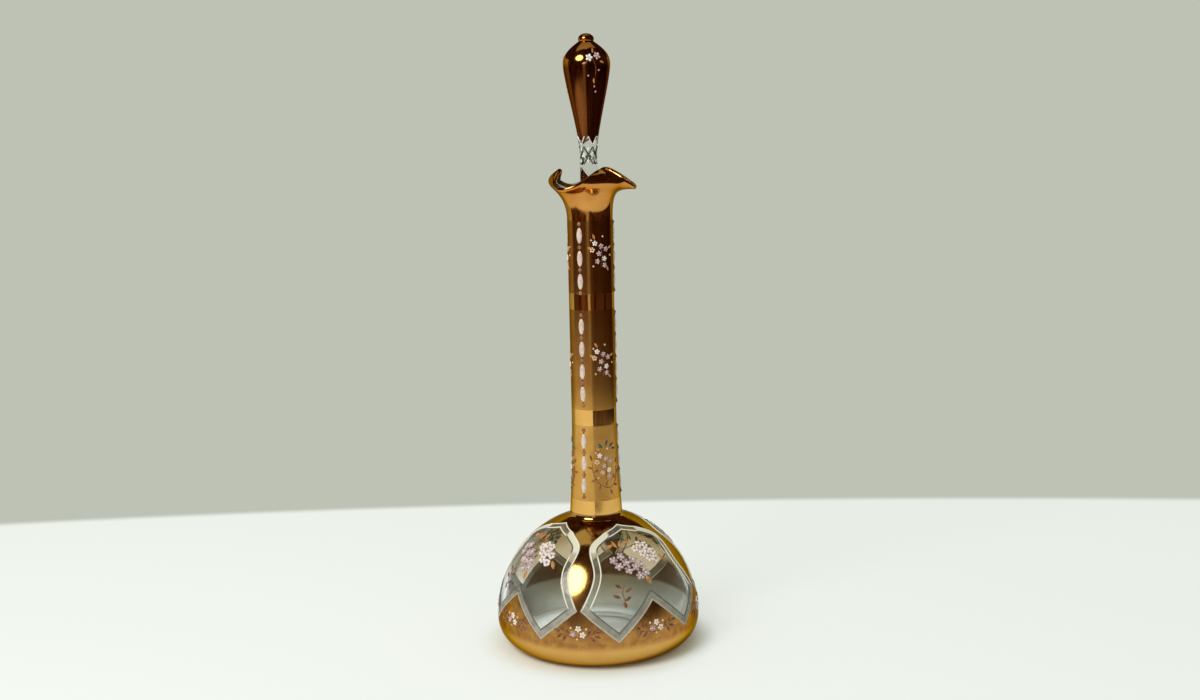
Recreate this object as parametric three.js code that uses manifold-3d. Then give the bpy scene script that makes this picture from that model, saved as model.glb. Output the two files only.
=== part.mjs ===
// Long-necked glass carafe: a domed bowl with clear windows, a gilded neck, a three-lobed
// ruffled lip and a drop-shaped stopper ground into the mouth.
// Millimetres, +Z up. The origin is the centre of the foot; the front faces -Y.
// Angles round the axis are counted from the front towards +X.
import * as THREE from "three";
import { mergeVertices } from "three/addons/utils/BufferGeometryUtils.js";
import Module from "manifold-3d";

// Bowl
const BOWL_RADIUS = 60.4;
const DOME_HEIGHT = 63.7;
const FOOT_ROUND = 15.8;
const BOWL_WALL = 3.2;
const FLOOR_THICKNESS = 5;
const FLOOR_ROUND = 12;
const KICK_RADIUS = 34;
const KICK_HEIGHT = 2.4;

// Neck, from its foot on the bowl up to where the lip starts to flare
const NECK_RADIUS = 13;
const NECK_WALL = 3.6;
const NECK_FOOT_FLARE = 2.3;
const NECK_TAPER_HEIGHT = 60;
const NECK_BLEND = 3;
const FOOT_BAND = 8.5;
const LOWER_SECTION = 45;
const MIDDLE_SECTION = 59;
const UPPER_SECTION = 41;
const BURNISHED_BAND = 9.5;
const TOP_BAND = 1.2;

// Lip: one section through a raised, curled lobe and one through a turned-down lobe
const LOBES = 3;
const LOBE_ANGLE = 25;
const LIP_WALL = 2.4;
const RAISED_RISE = 22;
const RAISED_BULGE = 31;
const RAISED_BULGE_HEIGHT = 18.5;
const RAISED_RADIUS = 17;
const RAISED_HEIGHT = 28;
const LOWERED_RISE = 17;
const LOWERED_BULGE = 15;
const LOWERED_BULGE_HEIGHT = 19;
const LOWERED_RADIUS = 26;
const LOWERED_HEIGHT = 18.5;

// Stopper
const SOCKET_LENGTH = 28;
const SOCKET_WIDENING = 0.9;
const PLUG_CLEARANCE = 0.3;
const PLUG_BEVEL = 1;
const PLUG_SHOULDER = 4;
const SHANK_RADIUS = 5.1;
const SHANK_LENGTH = 43.3;
const OLIVE_CUTS = 6;
const OLIVE_DEPTH = 0.6;
const OLIVE_WHEEL_RADIUS = 11;
const OLIVE_ROW_SPACING = 5;
const OLIVE_TOP_GAP = 0.2;
const DROP_LENGTH = 45.5;
const DROP_RADIUS = 13.3;
const DROP_LOWER_PULL = 15;
const DROP_LOWER_BULGE = 2;
const DROP_UPPER_PULL = 8;
const CROWN_HEIGHT = 13.7;
const CROWN_LOWER_PULL = 5.5;
const CROWN_UPPER_PULL = 5;
const CROWN_UPPER_DROP = 3.5;
const BUTTON_RADIUS = 4.3;
const BUTTON_HEIGHT = 5.88;
const BUTTON_WAIST = 0.92;

// Fired-on gold
const GILDING_GAP = 0.3;
const GILDING = 0.3;
const GILDING_FOOT = 1.2;
const GILDING_JOINT = 0.3;
const GILDING_LIP_MARGIN = 1.3;
const STOPPER_HEM_HEIGHT = 4.6;
const STOPPER_HEM_POINTS = 6;

// Windows in the bowl's gold, as angles from a rib and elevations over the bowl's centre
const WINDOWS = 4;
const RIB_ANGLE = -11;
const RIB_FOOT = [0.9, 19.5];
const WINDOW_POINT_ELEVATION = 2;
const MIDDLE_PEAK_ELEVATION = 22;
const RIB_BELLY = [8.3, 38];
const RIB_WAIST = [4.5, 55.5];
const TONGUE_SIDE = [19, 65];
const COLLAR_ELEVATION = 71;
const BORDER_WIDTH = 4.4;
const BORDER_HEIGHT = 0.7;
const BORDER_GAP = 0.3;

// Raised enamel chains of ovals and beads
const CHAINS = 3;
const CHAIN_ANGLE = -28;
const CHAIN_PITCH = 13.3;
const OVAL_LENGTH = 9.4;
const OVAL_WIDTH = 3.4;
const BEAD_DIAMETER = 2.4;
const CHAIN_STEM = 0.8;
const CHAIN_HEIGHT = 0.8;
const CHAIN_GAP = 0.3;

// Facet counts
const ROUND_STEPS = 36;
const STOPPER_STEPS = 24;
const DOME_STEPS = 8;
const INNER_DOME_STEPS = 6;
const CURVE_STEPS = 4;
const BLEND_STEPS = 3;
const LIP_STEPS = 6;
const WHEEL_STEPS = 30;
const ZIGZAG_STEPS = 6;
const EDGE_STEPS = 2;
const RIB_STEPS = 9;

const TURN = 2 * Math.PI;
const radians = THREE.MathUtils.degToRad;
const point = (radius, height) => new THREE.Vector2(radius, height);

// Levels that follow from the sizes above
const neckFootRadius = NECK_RADIUS + NECK_FOOT_FLARE;
const neckFoot = domeHeightAt(neckFootRadius, 0) + NECK_BLEND;
const lowerSectionBase = neckFoot + FOOT_BAND;
const middleSectionBase = lowerSectionBase + LOWER_SECTION + BURNISHED_BAND;
const upperSectionBase = middleSectionBase + MIDDLE_SECTION + BURNISHED_BAND;
const lipBase = upperSectionBase + UPPER_SECTION + TOP_BAND;
const boreRadius = NECK_RADIUS - NECK_WALL;
const socketRadius = boreRadius + SOCKET_WIDENING;
const goldOuter = GILDING_GAP + GILDING;

const wasm = await Module();
wasm.setup();

// Only positions are kept, and shared corners are merged, so that the shape is one closed skin.
function closedSkin(geometry) {
  geometry.deleteAttribute("normal");
  geometry.deleteAttribute("uv");
  return mergeVertices(geometry, 1e-4);
}

function toSolid(geometry) {
  const vertProperties = new Float32Array(geometry.attributes.position.array);
  const triVerts = new Uint32Array(geometry.index.array);
  return new wasm.Manifold(new wasm.Mesh({ numProp: 3, vertProperties, triVerts }));
}

function toGeometry(solid) {
  const mesh = solid.getMesh();
  const geometry = new THREE.BufferGeometry();
  geometry.setAttribute("position", new THREE.BufferAttribute(mesh.vertProperties, 3));
  geometry.setIndex(new THREE.BufferAttribute(mesh.triVerts, 1));
  return geometry;
}

// Turns a section about Z. The section may differ at each angle, as on the ruffled lip.
function revolve(sectionAt, steps) {
  const count = sectionAt(0).length;
  const geometry = new THREE.LatheGeometry(sectionAt(0), steps);
  const position = geometry.attributes.position;
  for (let i = 0; i <= steps; i += 1) {
    const angle = (i % steps) * TURN / steps;
    sectionAt(angle).forEach((corner, j) => {
      position.setXYZ(i * count + j, corner.x * Math.sin(angle), corner.y, corner.x * Math.cos(angle));
    });
  }
  geometry.rotateX(Math.PI / 2);
  splitAlike(geometry);
  return closedSkin(geometry);
}

// Splits each four-cornered patch along its shorter diagonal, so that skins that lie together split alike
function splitAlike(geometry) {
  const position = geometry.attributes.position;
  const index = geometry.index;
  const corner = (i) => new THREE.Vector3().fromBufferAttribute(position, index.getX(i));
  for (let first = 0; first < index.count; first += 6) {
    const [a, b, d, c] = [0, 1, 2, 3].map((i) => index.getX(first + i));
    const across = corner(first).distanceTo(corner(first + 3));
    if (across < corner(first + 1).distanceTo(corner(first + 2))) {
      [a, b, c, a, c, d].forEach((vertex, i) => index.setX(first + i, vertex));
    }
  }
}

// A closed ring of points, outer side upwards and inner side back down.
function skinSection(sideAt) {
  return [...sideAt(goldOuter), ...sideAt(GILDING_GAP).reverse(), sideAt(goldOuter)[0]];
}

function arc(centre, radii, from, to, steps) {
  return new THREE.EllipseCurve(centre.x, centre.y, radii.x, radii.y, from, to, to < from).getPoints(steps);
}

// Bowl, with every outline grown outwards by the same amount for the layers that lie on it

function domeHeightAt(radius, grow) {
  const share = radius / (BOWL_RADIUS + grow);
  return FOOT_ROUND + (DOME_HEIGHT + grow) * Math.sqrt(1 - share * share);
}

function bowlSide(grow, lowest) {
  const footCentre = point(BOWL_RADIUS - FOOT_ROUND, FOOT_ROUND);
  const footRadius = FOOT_ROUND + grow;
  const start = Math.asin(Math.max(-1, (lowest - FOOT_ROUND) / footRadius));
  const foot = arc(footCentre, point(footRadius, footRadius), start, 0, CURVE_STEPS);
  const shoulderRadius = neckFootRadius + NECK_BLEND + grow;
  const shoulder = Math.acos(shoulderRadius / (BOWL_RADIUS + grow));
  const domeRadii = point(BOWL_RADIUS + grow, DOME_HEIGHT + grow);
  const dome = arc(point(0, FOOT_ROUND), domeRadii, 0, shoulder, DOME_STEPS);
  return [...foot, ...dome.slice(1)];
}

function neckBlend(grow) {
  const shoulderRadius = neckFootRadius + NECK_BLEND + grow;
  const shoulder = point(shoulderRadius, domeHeightAt(shoulderRadius, grow));
  const corner = point(neckFootRadius + grow, domeHeightAt(neckFootRadius + grow, grow));
  const top = point(neckFootRadius + grow, neckFoot);
  return new THREE.QuadraticBezierCurve(shoulder, corner, top).getPoints(BLEND_STEPS).slice(1);
}

// Neck: a straight tube that widens towards its foot

function neckRadiusAt(height) {
  const fall = 1 - Math.min(1, Math.max(0, (height - neckFoot) / NECK_TAPER_HEIGHT));
  return NECK_RADIUS + NECK_FOOT_FLARE * fall * fall;
}

function neckSide(grow, bottom) {
  const side = [];
  for (let i = 0; i <= CURVE_STEPS; i += 1) {
    const height = bottom + (neckFoot + NECK_TAPER_HEIGHT - bottom) * i / CURVE_STEPS;
    side.push(point(neckRadiusAt(height) + grow, height));
  }
  side.push(point(NECK_RADIUS + grow, lipBase));
  return side;
}

// Lip: the raised and the lowered sections are blended round the mouth in a wave of three lobes

function lipCurve(angle) {
  const raised = (1 + Math.cos(LOBES * (angle - radians(LOBE_ANGLE)))) / 2;
  const rootRadius = (NECK_RADIUS + socketRadius) / 2;
  const lowered = [
    point(rootRadius, 0),
    point(rootRadius, LOWERED_RISE),
    point(LOWERED_BULGE, LOWERED_BULGE_HEIGHT),
    point(LOWERED_RADIUS, LOWERED_HEIGHT),
  ];
  const lifted = [
    point(rootRadius, 0),
    point(rootRadius, RAISED_RISE),
    point(RAISED_BULGE, RAISED_BULGE_HEIGHT),
    point(RAISED_RADIUS, RAISED_HEIGHT),
  ];
  const pulls = lowered.map((corner, i) => corner.lerp(lifted[i], raised).add(point(0, lipBase)));
  return new THREE.CubicBezierCurve(...pulls);
}

function lipWallAt(t) {
  return THREE.MathUtils.lerp(NECK_RADIUS - socketRadius, LIP_WALL, t);
}

function lipPoint(curve, t, offset) {
  const along = curve.getTangent(t);
  return curve.getPoint(t).add(point(along.y, -along.x).multiplyScalar(offset));
}

// The gold stops a little short of the rim, and the glass has a ring of corners there too
const gildedLip = 1 - GILDING_LIP_MARGIN / lipCurve(radians(LOBE_ANGLE)).getLength();

function lipOutside(angle, grow) {
  const curve = lipCurve(angle);
  const side = [];
  for (let i = 1; i <= LIP_STEPS; i += 1) {
    const t = gildedLip * i / LIP_STEPS;
    side.push(lipPoint(curve, t, lipWallAt(t) / 2 + grow));
  }
  return side;
}

function lipRimAndInside(angle) {
  const curve = lipCurve(angle);
  const along = curve.getTangent(1);
  const rim = curve.getPoint(1).add(along.multiplyScalar(LIP_WALL / 2));
  const side = [lipPoint(curve, 1, LIP_WALL / 2), rim];
  for (let i = LIP_STEPS; i >= 0; i -= 1) {
    const t = i / LIP_STEPS;
    side.push(lipPoint(curve, t, -lipWallAt(t) / 2));
  }
  return side;
}

// Inside of the vessel, from the ground socket down to the floor

function insideSection() {
  const radius = BOWL_RADIUS - BOWL_WALL;
  const height = DOME_HEIGHT - BOWL_WALL;
  const mouth = boreRadius + NECK_BLEND;
  const top = Math.acos(mouth / radius);
  const dome = arc(point(0, FOOT_ROUND), point(radius, height), top, 0, INNER_DOME_STEPS);
  const throat = new THREE.QuadraticBezierCurve(
    point(boreRadius, dome[0].y + NECK_BLEND),
    point(boreRadius, dome[0].y),
    dome[0],
  ).getPoints(BLEND_STEPS);
  const floorCentre = point(radius - FLOOR_ROUND, FOOT_ROUND);
  const floorRadii = point(FLOOR_ROUND, FOOT_ROUND - FLOOR_THICKNESS);
  const floorEdge = arc(floorCentre, floorRadii, 0, -Math.PI / 2, BLEND_STEPS);
  const crown = point(0, FLOOR_THICKNESS + KICK_HEIGHT);
  const socketEnd = point(boreRadius, lipBase - SOCKET_LENGTH);
  return [socketEnd, ...throat, ...dome.slice(1), ...floorEdge.slice(1), crown];
}

function vesselSection(angle) {
  const kick = new THREE.QuadraticBezierCurve(
    point(0, KICK_HEIGHT),
    point(KICK_RADIUS / 2, KICK_HEIGHT),
    point(KICK_RADIUS, 0),
  ).getPoints(BLEND_STEPS);
  return [
    ...kick,
    ...bowlSide(0, 0),
    ...neckBlend(0),
    ...neckSide(0, neckFoot).slice(1),
    ...lipOutside(angle, 0),
    ...lipRimAndInside(angle),
    ...insideSection(),
  ];
}

// Stopper: a ground plug, a clear shank with olive cuts and a solid drop with a small button on top

const shankTop = lipBase + SHANK_LENGTH;
const dropWidest = shankTop + DROP_LENGTH;
const buttonMiddle = dropWidest + CROWN_HEIGHT;

function dropSide(grow, hem) {
  const taper = new THREE.CubicBezierCurve(
    point(SHANK_RADIUS + grow, shankTop),
    point(SHANK_RADIUS + DROP_LOWER_BULGE + grow, shankTop + DROP_LOWER_PULL),
    point(DROP_RADIUS + grow, dropWidest - DROP_UPPER_PULL),
    point(DROP_RADIUS + grow, dropWidest),
  );
  const lower = taper.getPoints(CURVE_STEPS);
  lower[0] = taper.getPoint(hem / (3 * DROP_LOWER_PULL));
  const waistRadius = BUTTON_RADIUS * BUTTON_WAIST + grow;
  const buttonRadii = point(BUTTON_RADIUS + grow, BUTTON_HEIGHT / 2 + grow);
  const buttonStart = -Math.acos(waistRadius / buttonRadii.x);
  const button = arc(point(0, buttonMiddle), buttonRadii, buttonStart, Math.PI / 2, BLEND_STEPS);
  const crown = new THREE.CubicBezierCurve(
    point(DROP_RADIUS + grow, dropWidest),
    point(DROP_RADIUS + grow, dropWidest + CROWN_LOWER_PULL),
    button[0].clone().add(point(CROWN_UPPER_PULL, -CROWN_UPPER_DROP)),
    button[0],
  ).getPoints(CURVE_STEPS);
  return [...lower, ...crown.slice(1), ...button.slice(1)];
}

function stopperSection() {
  const plugBottom = lipBase - SOCKET_LENGTH;
  const plugTop = socketRadius - PLUG_CLEARANCE;
  const plugEnd = boreRadius - PLUG_CLEARANCE;
  const shoulder = new THREE.QuadraticBezierCurve(
    point(plugTop, lipBase),
    point(SHANK_RADIUS, lipBase),
    point(SHANK_RADIUS, lipBase + PLUG_SHOULDER),
  ).getPoints(CURVE_STEPS);
  return [
    point(0, plugBottom),
    point(plugEnd - PLUG_BEVEL, plugBottom),
    point(plugEnd, plugBottom + PLUG_BEVEL),
    ...shoulder,
    ...dropSide(0, 0),
  ];
}

// Two staggered rows of olive-shaped cuts, each ground into the shank by the rim of a wheel
function stopperGeometry() {
  let solid = toSolid(revolve(stopperSection, STOPPER_STEPS));
  const cutHalfLength = Math.sqrt(2 * OLIVE_WHEEL_RADIUS * OLIVE_DEPTH);
  const upperRow = shankTop - OLIVE_TOP_GAP - cutHalfLength;
  const wheelCentre = SHANK_RADIUS - OLIVE_DEPTH + OLIVE_WHEEL_RADIUS;
  const wheelWidth = 2 * SHANK_RADIUS;
  for (const row of [0, 1]) {
    for (let i = 0; i < OLIVE_CUTS; i += 1) {
      const radius = OLIVE_WHEEL_RADIUS;
      const wheel = new THREE.CylinderGeometry(radius, radius, wheelWidth, WHEEL_STEPS);
      wheel.rotateZ(Math.PI / 2);
      wheel.translate(0, -wheelCentre, upperRow - row * OLIVE_ROW_SPACING);
      wheel.rotateZ(TURN * (i + row / 2) / OLIVE_CUTS);
      solid = solid.subtract(toSolid(closedSkin(wheel)));
    }
  }
  return toGeometry(solid);
}

function stopperGildingGeometry() {
  const hem = (angle) => {
    const phase = (angle * STOPPER_HEM_POINTS / TURN) % 1;
    return STOPPER_HEM_HEIGHT * Math.abs(2 * phase - 1);
  };
  const sectionAt = (angle) => {
    const inside = dropSide(GILDING_GAP, hem(angle));
    const outside = dropSide(goldOuter, hem(angle));
    return [...inside.reverse(), ...outside];
  };
  return revolve(sectionAt, STOPPER_STEPS);
}

// Windows: an outline on the dome is kept as directions from the bowl's centre

function windowOutline(rib) {
  const half = 180 / WINDOWS;
  const direction = (angle, elevation) => new THREE.Vector3(
    Math.sin(radians(rib + angle)) * Math.cos(radians(elevation)),
    -Math.cos(radians(rib + angle)) * Math.cos(radians(elevation)),
    Math.sin(radians(elevation)),
  );
  const run = (from, to, steps) => new THREE.LineCurve(point(...from), point(...to)).getPoints(steps);
  const zigzag = [
    ...run(RIB_FOOT, [half / 2, WINDOW_POINT_ELEVATION], ZIGZAG_STEPS),
    ...run([half / 2, WINDOW_POINT_ELEVATION], [half, MIDDLE_PEAK_ELEVATION], ZIGZAG_STEPS).slice(1),
  ];
  const ribPoints = [RIB_FOOT, RIB_BELLY, RIB_WAIST, TONGUE_SIDE].map((pair) => point(...pair));
  const ribSide = new THREE.SplineCurve(ribPoints).getPoints(RIB_STEPS);
  const tongueEdge = run([half, COLLAR_ELEVATION], TONGUE_SIDE, EDGE_STEPS);
  const halfOutline = [...tongueEdge, ...ribSide.reverse().slice(1), ...zigzag.slice(1)];
  const mirrored = halfOutline.slice(1, -1).reverse().map((corner) => point(2 * half - corner.x, corner.y));
  return [...halfOutline, ...mirrored].map((corner) => direction(corner.x, corner.y));
}

// Moves each side of an outline inwards over the dome by a distance
function inset(outline, distance) {
  const sweep = distance / BOWL_RADIUS;
  return outline.map((corner, i) => {
    const before = outline[(i + outline.length - 1) % outline.length];
    const after = outline[(i + 1) % outline.length];
    const first = new THREE.Vector3().crossVectors(before, corner).normalize();
    const second = new THREE.Vector3().crossVectors(corner, after).normalize();
    const step = sweep / (1 + first.dot(second));
    return corner.clone().addScaledVector(first.add(second), step).normalize();
  });
}

// The solid that an outline sweeps along the rays from the bowl's centre
function rayPrism(outline) {
  const near = BOWL_RADIUS / 3;
  const far = BOWL_RADIUS * 2;
  const count = outline.length;
  const middle = outline.reduce((sum, corner) => sum.add(corner), new THREE.Vector3()).normalize();
  const flatX = new THREE.Vector3(0, 0, 1).cross(middle).normalize();
  const flatY = new THREE.Vector3().crossVectors(middle, flatX);
  const flat = outline.map((corner) => {
    return point(corner.dot(flatX), corner.dot(flatY)).divideScalar(corner.dot(middle));
  });
  const scaled = (reach) => outline.map((corner) => corner.clone().multiplyScalar(reach));
  const corners = [...scaled(near), ...scaled(far)];
  const indices = [];
  for (const [a, b, c] of THREE.ShapeUtils.triangulateShape(flat, [])) {
    indices.push(a, c, b, count + a, count + b, count + c);
  }
  for (let i = 0; i < count; i += 1) {
    const next = (i + 1) % count;
    indices.push(i, next, count + next, i, count + next, count + i);
  }
  const geometry = new THREE.BufferGeometry().setFromPoints(corners);
  geometry.setIndex(indices);
  geometry.translate(0, 0, FOOT_ROUND);
  return toSolid(geometry);
}

const windowOutlines = [];
for (let i = 0; i < WINDOWS; i += 1) {
  windowOutlines.push(windowOutline(RIB_ANGLE + i * 360 / WINDOWS));
}

function bowlGildingGeometry() {
  const side = (grow) => [...bowlSide(grow, GILDING_FOOT), ...neckBlend(grow)];
  let gold = toSolid(revolve(() => skinSection(side), ROUND_STEPS));
  for (const outline of windowOutlines) {
    gold = gold.subtract(rayPrism(outline));
  }
  return toGeometry(gold);
}

function neckGildingGeometry() {
  const sectionAt = (angle) => skinSection((grow) => [
    ...neckSide(grow, neckFoot + GILDING_JOINT),
    ...lipOutside(angle, grow),
  ]);
  return revolve(sectionAt, ROUND_STEPS);
}

// Where a ray from the bowl's centre leaves the dome grown by an amount
function onDome(direction, grow) {
  const across = Math.hypot(direction.x, direction.y) / (BOWL_RADIUS + grow);
  const up = direction.z / (DOME_HEIGHT + grow);
  return direction.clone().divideScalar(Math.hypot(across, up)).add(new THREE.Vector3(0, 0, FOOT_ROUND));
}

// A raised frame that follows the inside of one window
function windowBorderGeometry(outline) {
  const outer = inset(outline, BORDER_GAP);
  const inner = inset(outline, BORDER_GAP + BORDER_WIDTH);
  const top = GILDING_GAP + BORDER_HEIGHT;
  const ring = outline.map((corner, i) => [
    onDome(outer[i], GILDING_GAP),
    onDome(inner[i], GILDING_GAP),
    onDome(inner[i], top),
    onDome(outer[i], top),
  ]);
  return loft([...ring, ring[0]]);
}

// A solid skinned over a row of four-cornered sections. A row that ends where it starts is a ring.
function loft(rows) {
  const size = rows[0].length;
  const last = size * (rows.length - 1);
  const indices = [];
  for (let i = 0; i < last; i += size) {
    for (let j = 0; j < size; j += 1) {
      const a = i + j;
      const b = i + (j + 1) % size;
      indices.push(a, b, b + size, a, b + size, a + size);
    }
  }
  const isRing = rows[0] === rows[rows.length - 1];
  if (!isRing) {
    indices.push(0, 2, 1, 0, 3, 2, last, last + 1, last + 2, last, last + 2, last + 3);
  }
  const geometry = new THREE.BufferGeometry().setFromPoints(rows.flat());
  geometry.setIndex(indices);
  return closedSkin(geometry);
}

// One chain: ovals with a bead before, between and after them on a thin stem

function chainGeometry(angle, base, length) {
  const count = Math.floor(length / CHAIN_PITCH);
  const start = base + (length - count * CHAIN_PITCH) / 2;
  const bead = BEAD_DIAMETER / 2;
  const ovalStart = (CHAIN_PITCH - OVAL_LENGTH) / 2;
  const rows = [];
  const addRow = (height, halfWidth) => {
    const seat = neckRadiusAt(height) + goldOuter + CHAIN_GAP;
    const relief = CHAIN_HEIGHT * Math.min(1, halfWidth / bead);
    const shelf = halfWidth / 2;
    const across = [[halfWidth, 0], [-halfWidth, 0], [-shelf, relief], [shelf, relief]];
    rows.push(across.map(([side, rise]) => {
      const turn = angle + side / seat;
      return new THREE.Vector3((seat + rise) * Math.sin(turn), -(seat + rise) * Math.cos(turn), height);
    }));
  };
  const addBead = (height) => {
    for (const share of [-0.8, 0, 0.8]) {
      addRow(height + share * bead, bead * Math.sqrt(1 - share * share));
    }
  };
  for (let i = 0; i < count; i += 1) {
    const foot = start + i * CHAIN_PITCH;
    addBead(foot);
    for (const share of [0, 0.2, 0.5, 0.8, 1]) {
      const swell = 4 * share * (1 - share);
      addRow(foot + ovalStart + share * OVAL_LENGTH, (CHAIN_STEM + (OVAL_WIDTH - CHAIN_STEM) * swell) / 2);
    }
  }
  addBead(start + count * CHAIN_PITCH);
  return loft(rows);
}

// Finishes

const glass = new THREE.MeshStandardMaterial({
  color: "#dfe6e1",
  roughness: 0.05,
  metalness: 0,
  transparent: true,
  opacity: 0.4,
});
const gold = new THREE.MeshStandardMaterial({ color: "#b07a2a", roughness: 0.18, metalness: 1 });
const silverFrost = new THREE.MeshStandardMaterial({ color: "#cfcfc8", roughness: 0.5, metalness: 0.1 });
const enamel = new THREE.MeshStandardMaterial({ color: "#e6d3d6", roughness: 0.35, metalness: 0 });

// Assembly

const carafe = new THREE.Group();
carafe.name = "carafe";

const vessel = new THREE.Group();
const stopper = new THREE.Group();
carafe.add(vessel, stopper);

function addPiece(group, name, geometry, material) {
  const mesh = new THREE.Mesh(geometry, material);
  mesh.name = name;
  group.add(mesh);
}

addPiece(vessel, "vessel_glass", revolve(vesselSection, ROUND_STEPS), glass);
addPiece(vessel, "bowl_gilding", bowlGildingGeometry(), gold);
addPiece(vessel, "neck_gilding", neckGildingGeometry(), gold);

windowOutlines.forEach((outline, i) => {
  addPiece(vessel, `window_border_${i + 1}`, windowBorderGeometry(outline), silverFrost);
});

const sections = [
  ["lower", lowerSectionBase, LOWER_SECTION],
  ["middle", middleSectionBase, MIDDLE_SECTION],
  ["upper", upperSectionBase, UPPER_SECTION],
];
for (let i = 0; i < CHAINS; i += 1) {
  const angle = radians(CHAIN_ANGLE) + TURN * i / CHAINS;
  for (const [place, base, length] of sections) {
    addPiece(vessel, `enamel_chain_${i + 1}_${place}`, chainGeometry(angle, base, length), enamel);
  }
}

addPiece(stopper, "stopper_glass", stopperGeometry(), glass);
addPiece(stopper, "stopper_gilding", stopperGildingGeometry(), gold);

export default carafe;
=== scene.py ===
# %% [markdown]
# # A gilded glass carafe
# The real carafe is two pieces of blown glass, a vessel and a stopper ground to fit it. Gold and
# enamel were painted on them and fired in a kiln. The lesson keeps the maker's order: glass,
# gold, enamel, then the studio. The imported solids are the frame. They stay where they are, and
# each finer piece here takes the place of one.

# %% Load the frame
import math
import random

import bmesh
import bpy
from mathutils import Matrix, Vector
from mathutils.geometry import interpolate_bezier


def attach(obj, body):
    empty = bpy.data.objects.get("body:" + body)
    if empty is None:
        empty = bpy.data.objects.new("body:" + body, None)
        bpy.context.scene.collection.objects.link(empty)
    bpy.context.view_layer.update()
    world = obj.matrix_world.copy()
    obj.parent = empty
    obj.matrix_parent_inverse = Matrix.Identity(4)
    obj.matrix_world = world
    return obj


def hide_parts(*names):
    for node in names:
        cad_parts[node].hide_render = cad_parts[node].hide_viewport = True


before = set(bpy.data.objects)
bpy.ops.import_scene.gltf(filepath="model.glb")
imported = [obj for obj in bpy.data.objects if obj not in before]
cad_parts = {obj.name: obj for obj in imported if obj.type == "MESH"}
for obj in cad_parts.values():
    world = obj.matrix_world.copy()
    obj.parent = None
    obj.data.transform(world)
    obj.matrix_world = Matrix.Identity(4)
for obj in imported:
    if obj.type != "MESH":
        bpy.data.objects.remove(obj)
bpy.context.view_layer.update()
MM = 0.001


# %% [markdown]
# ## Sizes
# A turned piece is known by its section: radii and heights from the foot up. They could be read
# off the frame's meshes, but those are faceted. The same driving sizes, written once more in
# metres, give smooth curves. Angles are in degrees, counted from the front towards the viewer's
# right.

# %% Sizes of the vessel
BOWL_RADIUS = 60.4 * MM
DOME_HEIGHT = 63.7 * MM
FOOT_ROUND = 15.8 * MM
BOWL_WALL = 3.2 * MM
FLOOR_THICKNESS = 5 * MM
FLOOR_ROUND = 12 * MM
KICK_RADIUS = 34 * MM
KICK_HEIGHT = 2.4 * MM
NECK_RADIUS = 13 * MM
BORE_RADIUS = 9.4 * MM
SOCKET_RADIUS = 10.3 * MM
SOCKET_LENGTH = 28 * MM
NECK_FOOT_RADIUS = 15.3 * MM
NECK_TAPER = 60 * MM
NECK_BLEND = 3 * MM
LIP_WALL = 2.4 * MM
WINDOWS = 4
HALF_WINDOW = 180 / WINDOWS
RIB_ANGLE = -11


def dome_height(radius):
    """Height of the dome's outside over the table at a radius."""
    return FOOT_ROUND + DOME_HEIGHT * math.sqrt(1 - (radius / BOWL_RADIUS) ** 2)


NECK_FOOT = dome_height(NECK_FOOT_RADIUS) + NECK_BLEND
FOOT_BAND = 8.5 * MM
BURNISHED_BAND = 9.5 * MM
LOWER_SECTION = 45 * MM
MIDDLE_SECTION = 59 * MM
UPPER_SECTION = 41 * MM
TOP_BAND = 1.2 * MM
LOWER_BASE = NECK_FOOT + FOOT_BAND
MIDDLE_BASE = LOWER_BASE + LOWER_SECTION + BURNISHED_BAND
UPPER_BASE = MIDDLE_BASE + MIDDLE_SECTION + BURNISHED_BAND
LIP_BASE = UPPER_BASE + UPPER_SECTION + TOP_BAND
print("neck from", round(NECK_FOOT / MM, 1), "to", round(LIP_BASE / MM, 1), "mm")

# %% [markdown]
# ## Lines and turned shapes
# Blown glass is round because it is turned all the while. Blender's spin does the same to a line
# of points. The line is put together from arcs and from Bezier curves, which need only their end
# points and pulls.

# %% Curves and the lathe
WELD = 0.002 * MM


def arc(centre, radii, start, stop, steps):
    """Points on part of an ellipse, from one angle to another."""
    turns = [math.radians(start + (stop - start) * i / steps) for i in range(steps + 1)]
    return [
        Vector((centre[0] + radii[0] * math.cos(turn), centre[1] + radii[1] * math.sin(turn)))
        for turn in turns
    ]


def pulled(pulls, share):
    """The point at a share of the curve that a row of pulls draws."""
    row = [Vector(pull) for pull in pulls]
    while len(row) > 1:
        row = [first.lerp(second, share) for first, second in zip(row, row[1:])]
    return row[0]


def pulled_line(pulls, steps):
    return [pulled(pulls, i / steps) for i in range(steps + 1)]


def straight_line(start, stop, steps):
    return [Vector(start).lerp(Vector(stop), i / steps) for i in range(steps + 1)]


def turned(bm, line, steps):
    """Spins a line of radii and heights once round the axis and welds the seam."""
    verts = [bm.verts.new((spot.x, 0, spot.y)) for spot in line]
    edges = [bm.edges.new(pair) for pair in zip(verts, verts[1:])]
    bmesh.ops.spin(
        bm,
        geom=verts + edges,
        cent=(0, 0, 0),
        axis=(0, 0, 1),
        angle=math.tau,
        steps=steps,
        use_merge=True,
    )
    bmesh.ops.remove_doubles(bm, verts=bm.verts[:], dist=WELD)


def angle_of(spot):
    """Degrees round the axis, from the front towards +X."""
    return math.degrees(math.atan2(spot.x, -spot.y))


def round_axis(angle, radius, height):
    turn = math.radians(angle)
    return Vector((radius * math.sin(turn), -radius * math.cos(turn), height))


print("a quarter arc has", len(arc((0, 0), (1, 1), 0, 90, 8)), "points at 8 steps")

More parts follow.
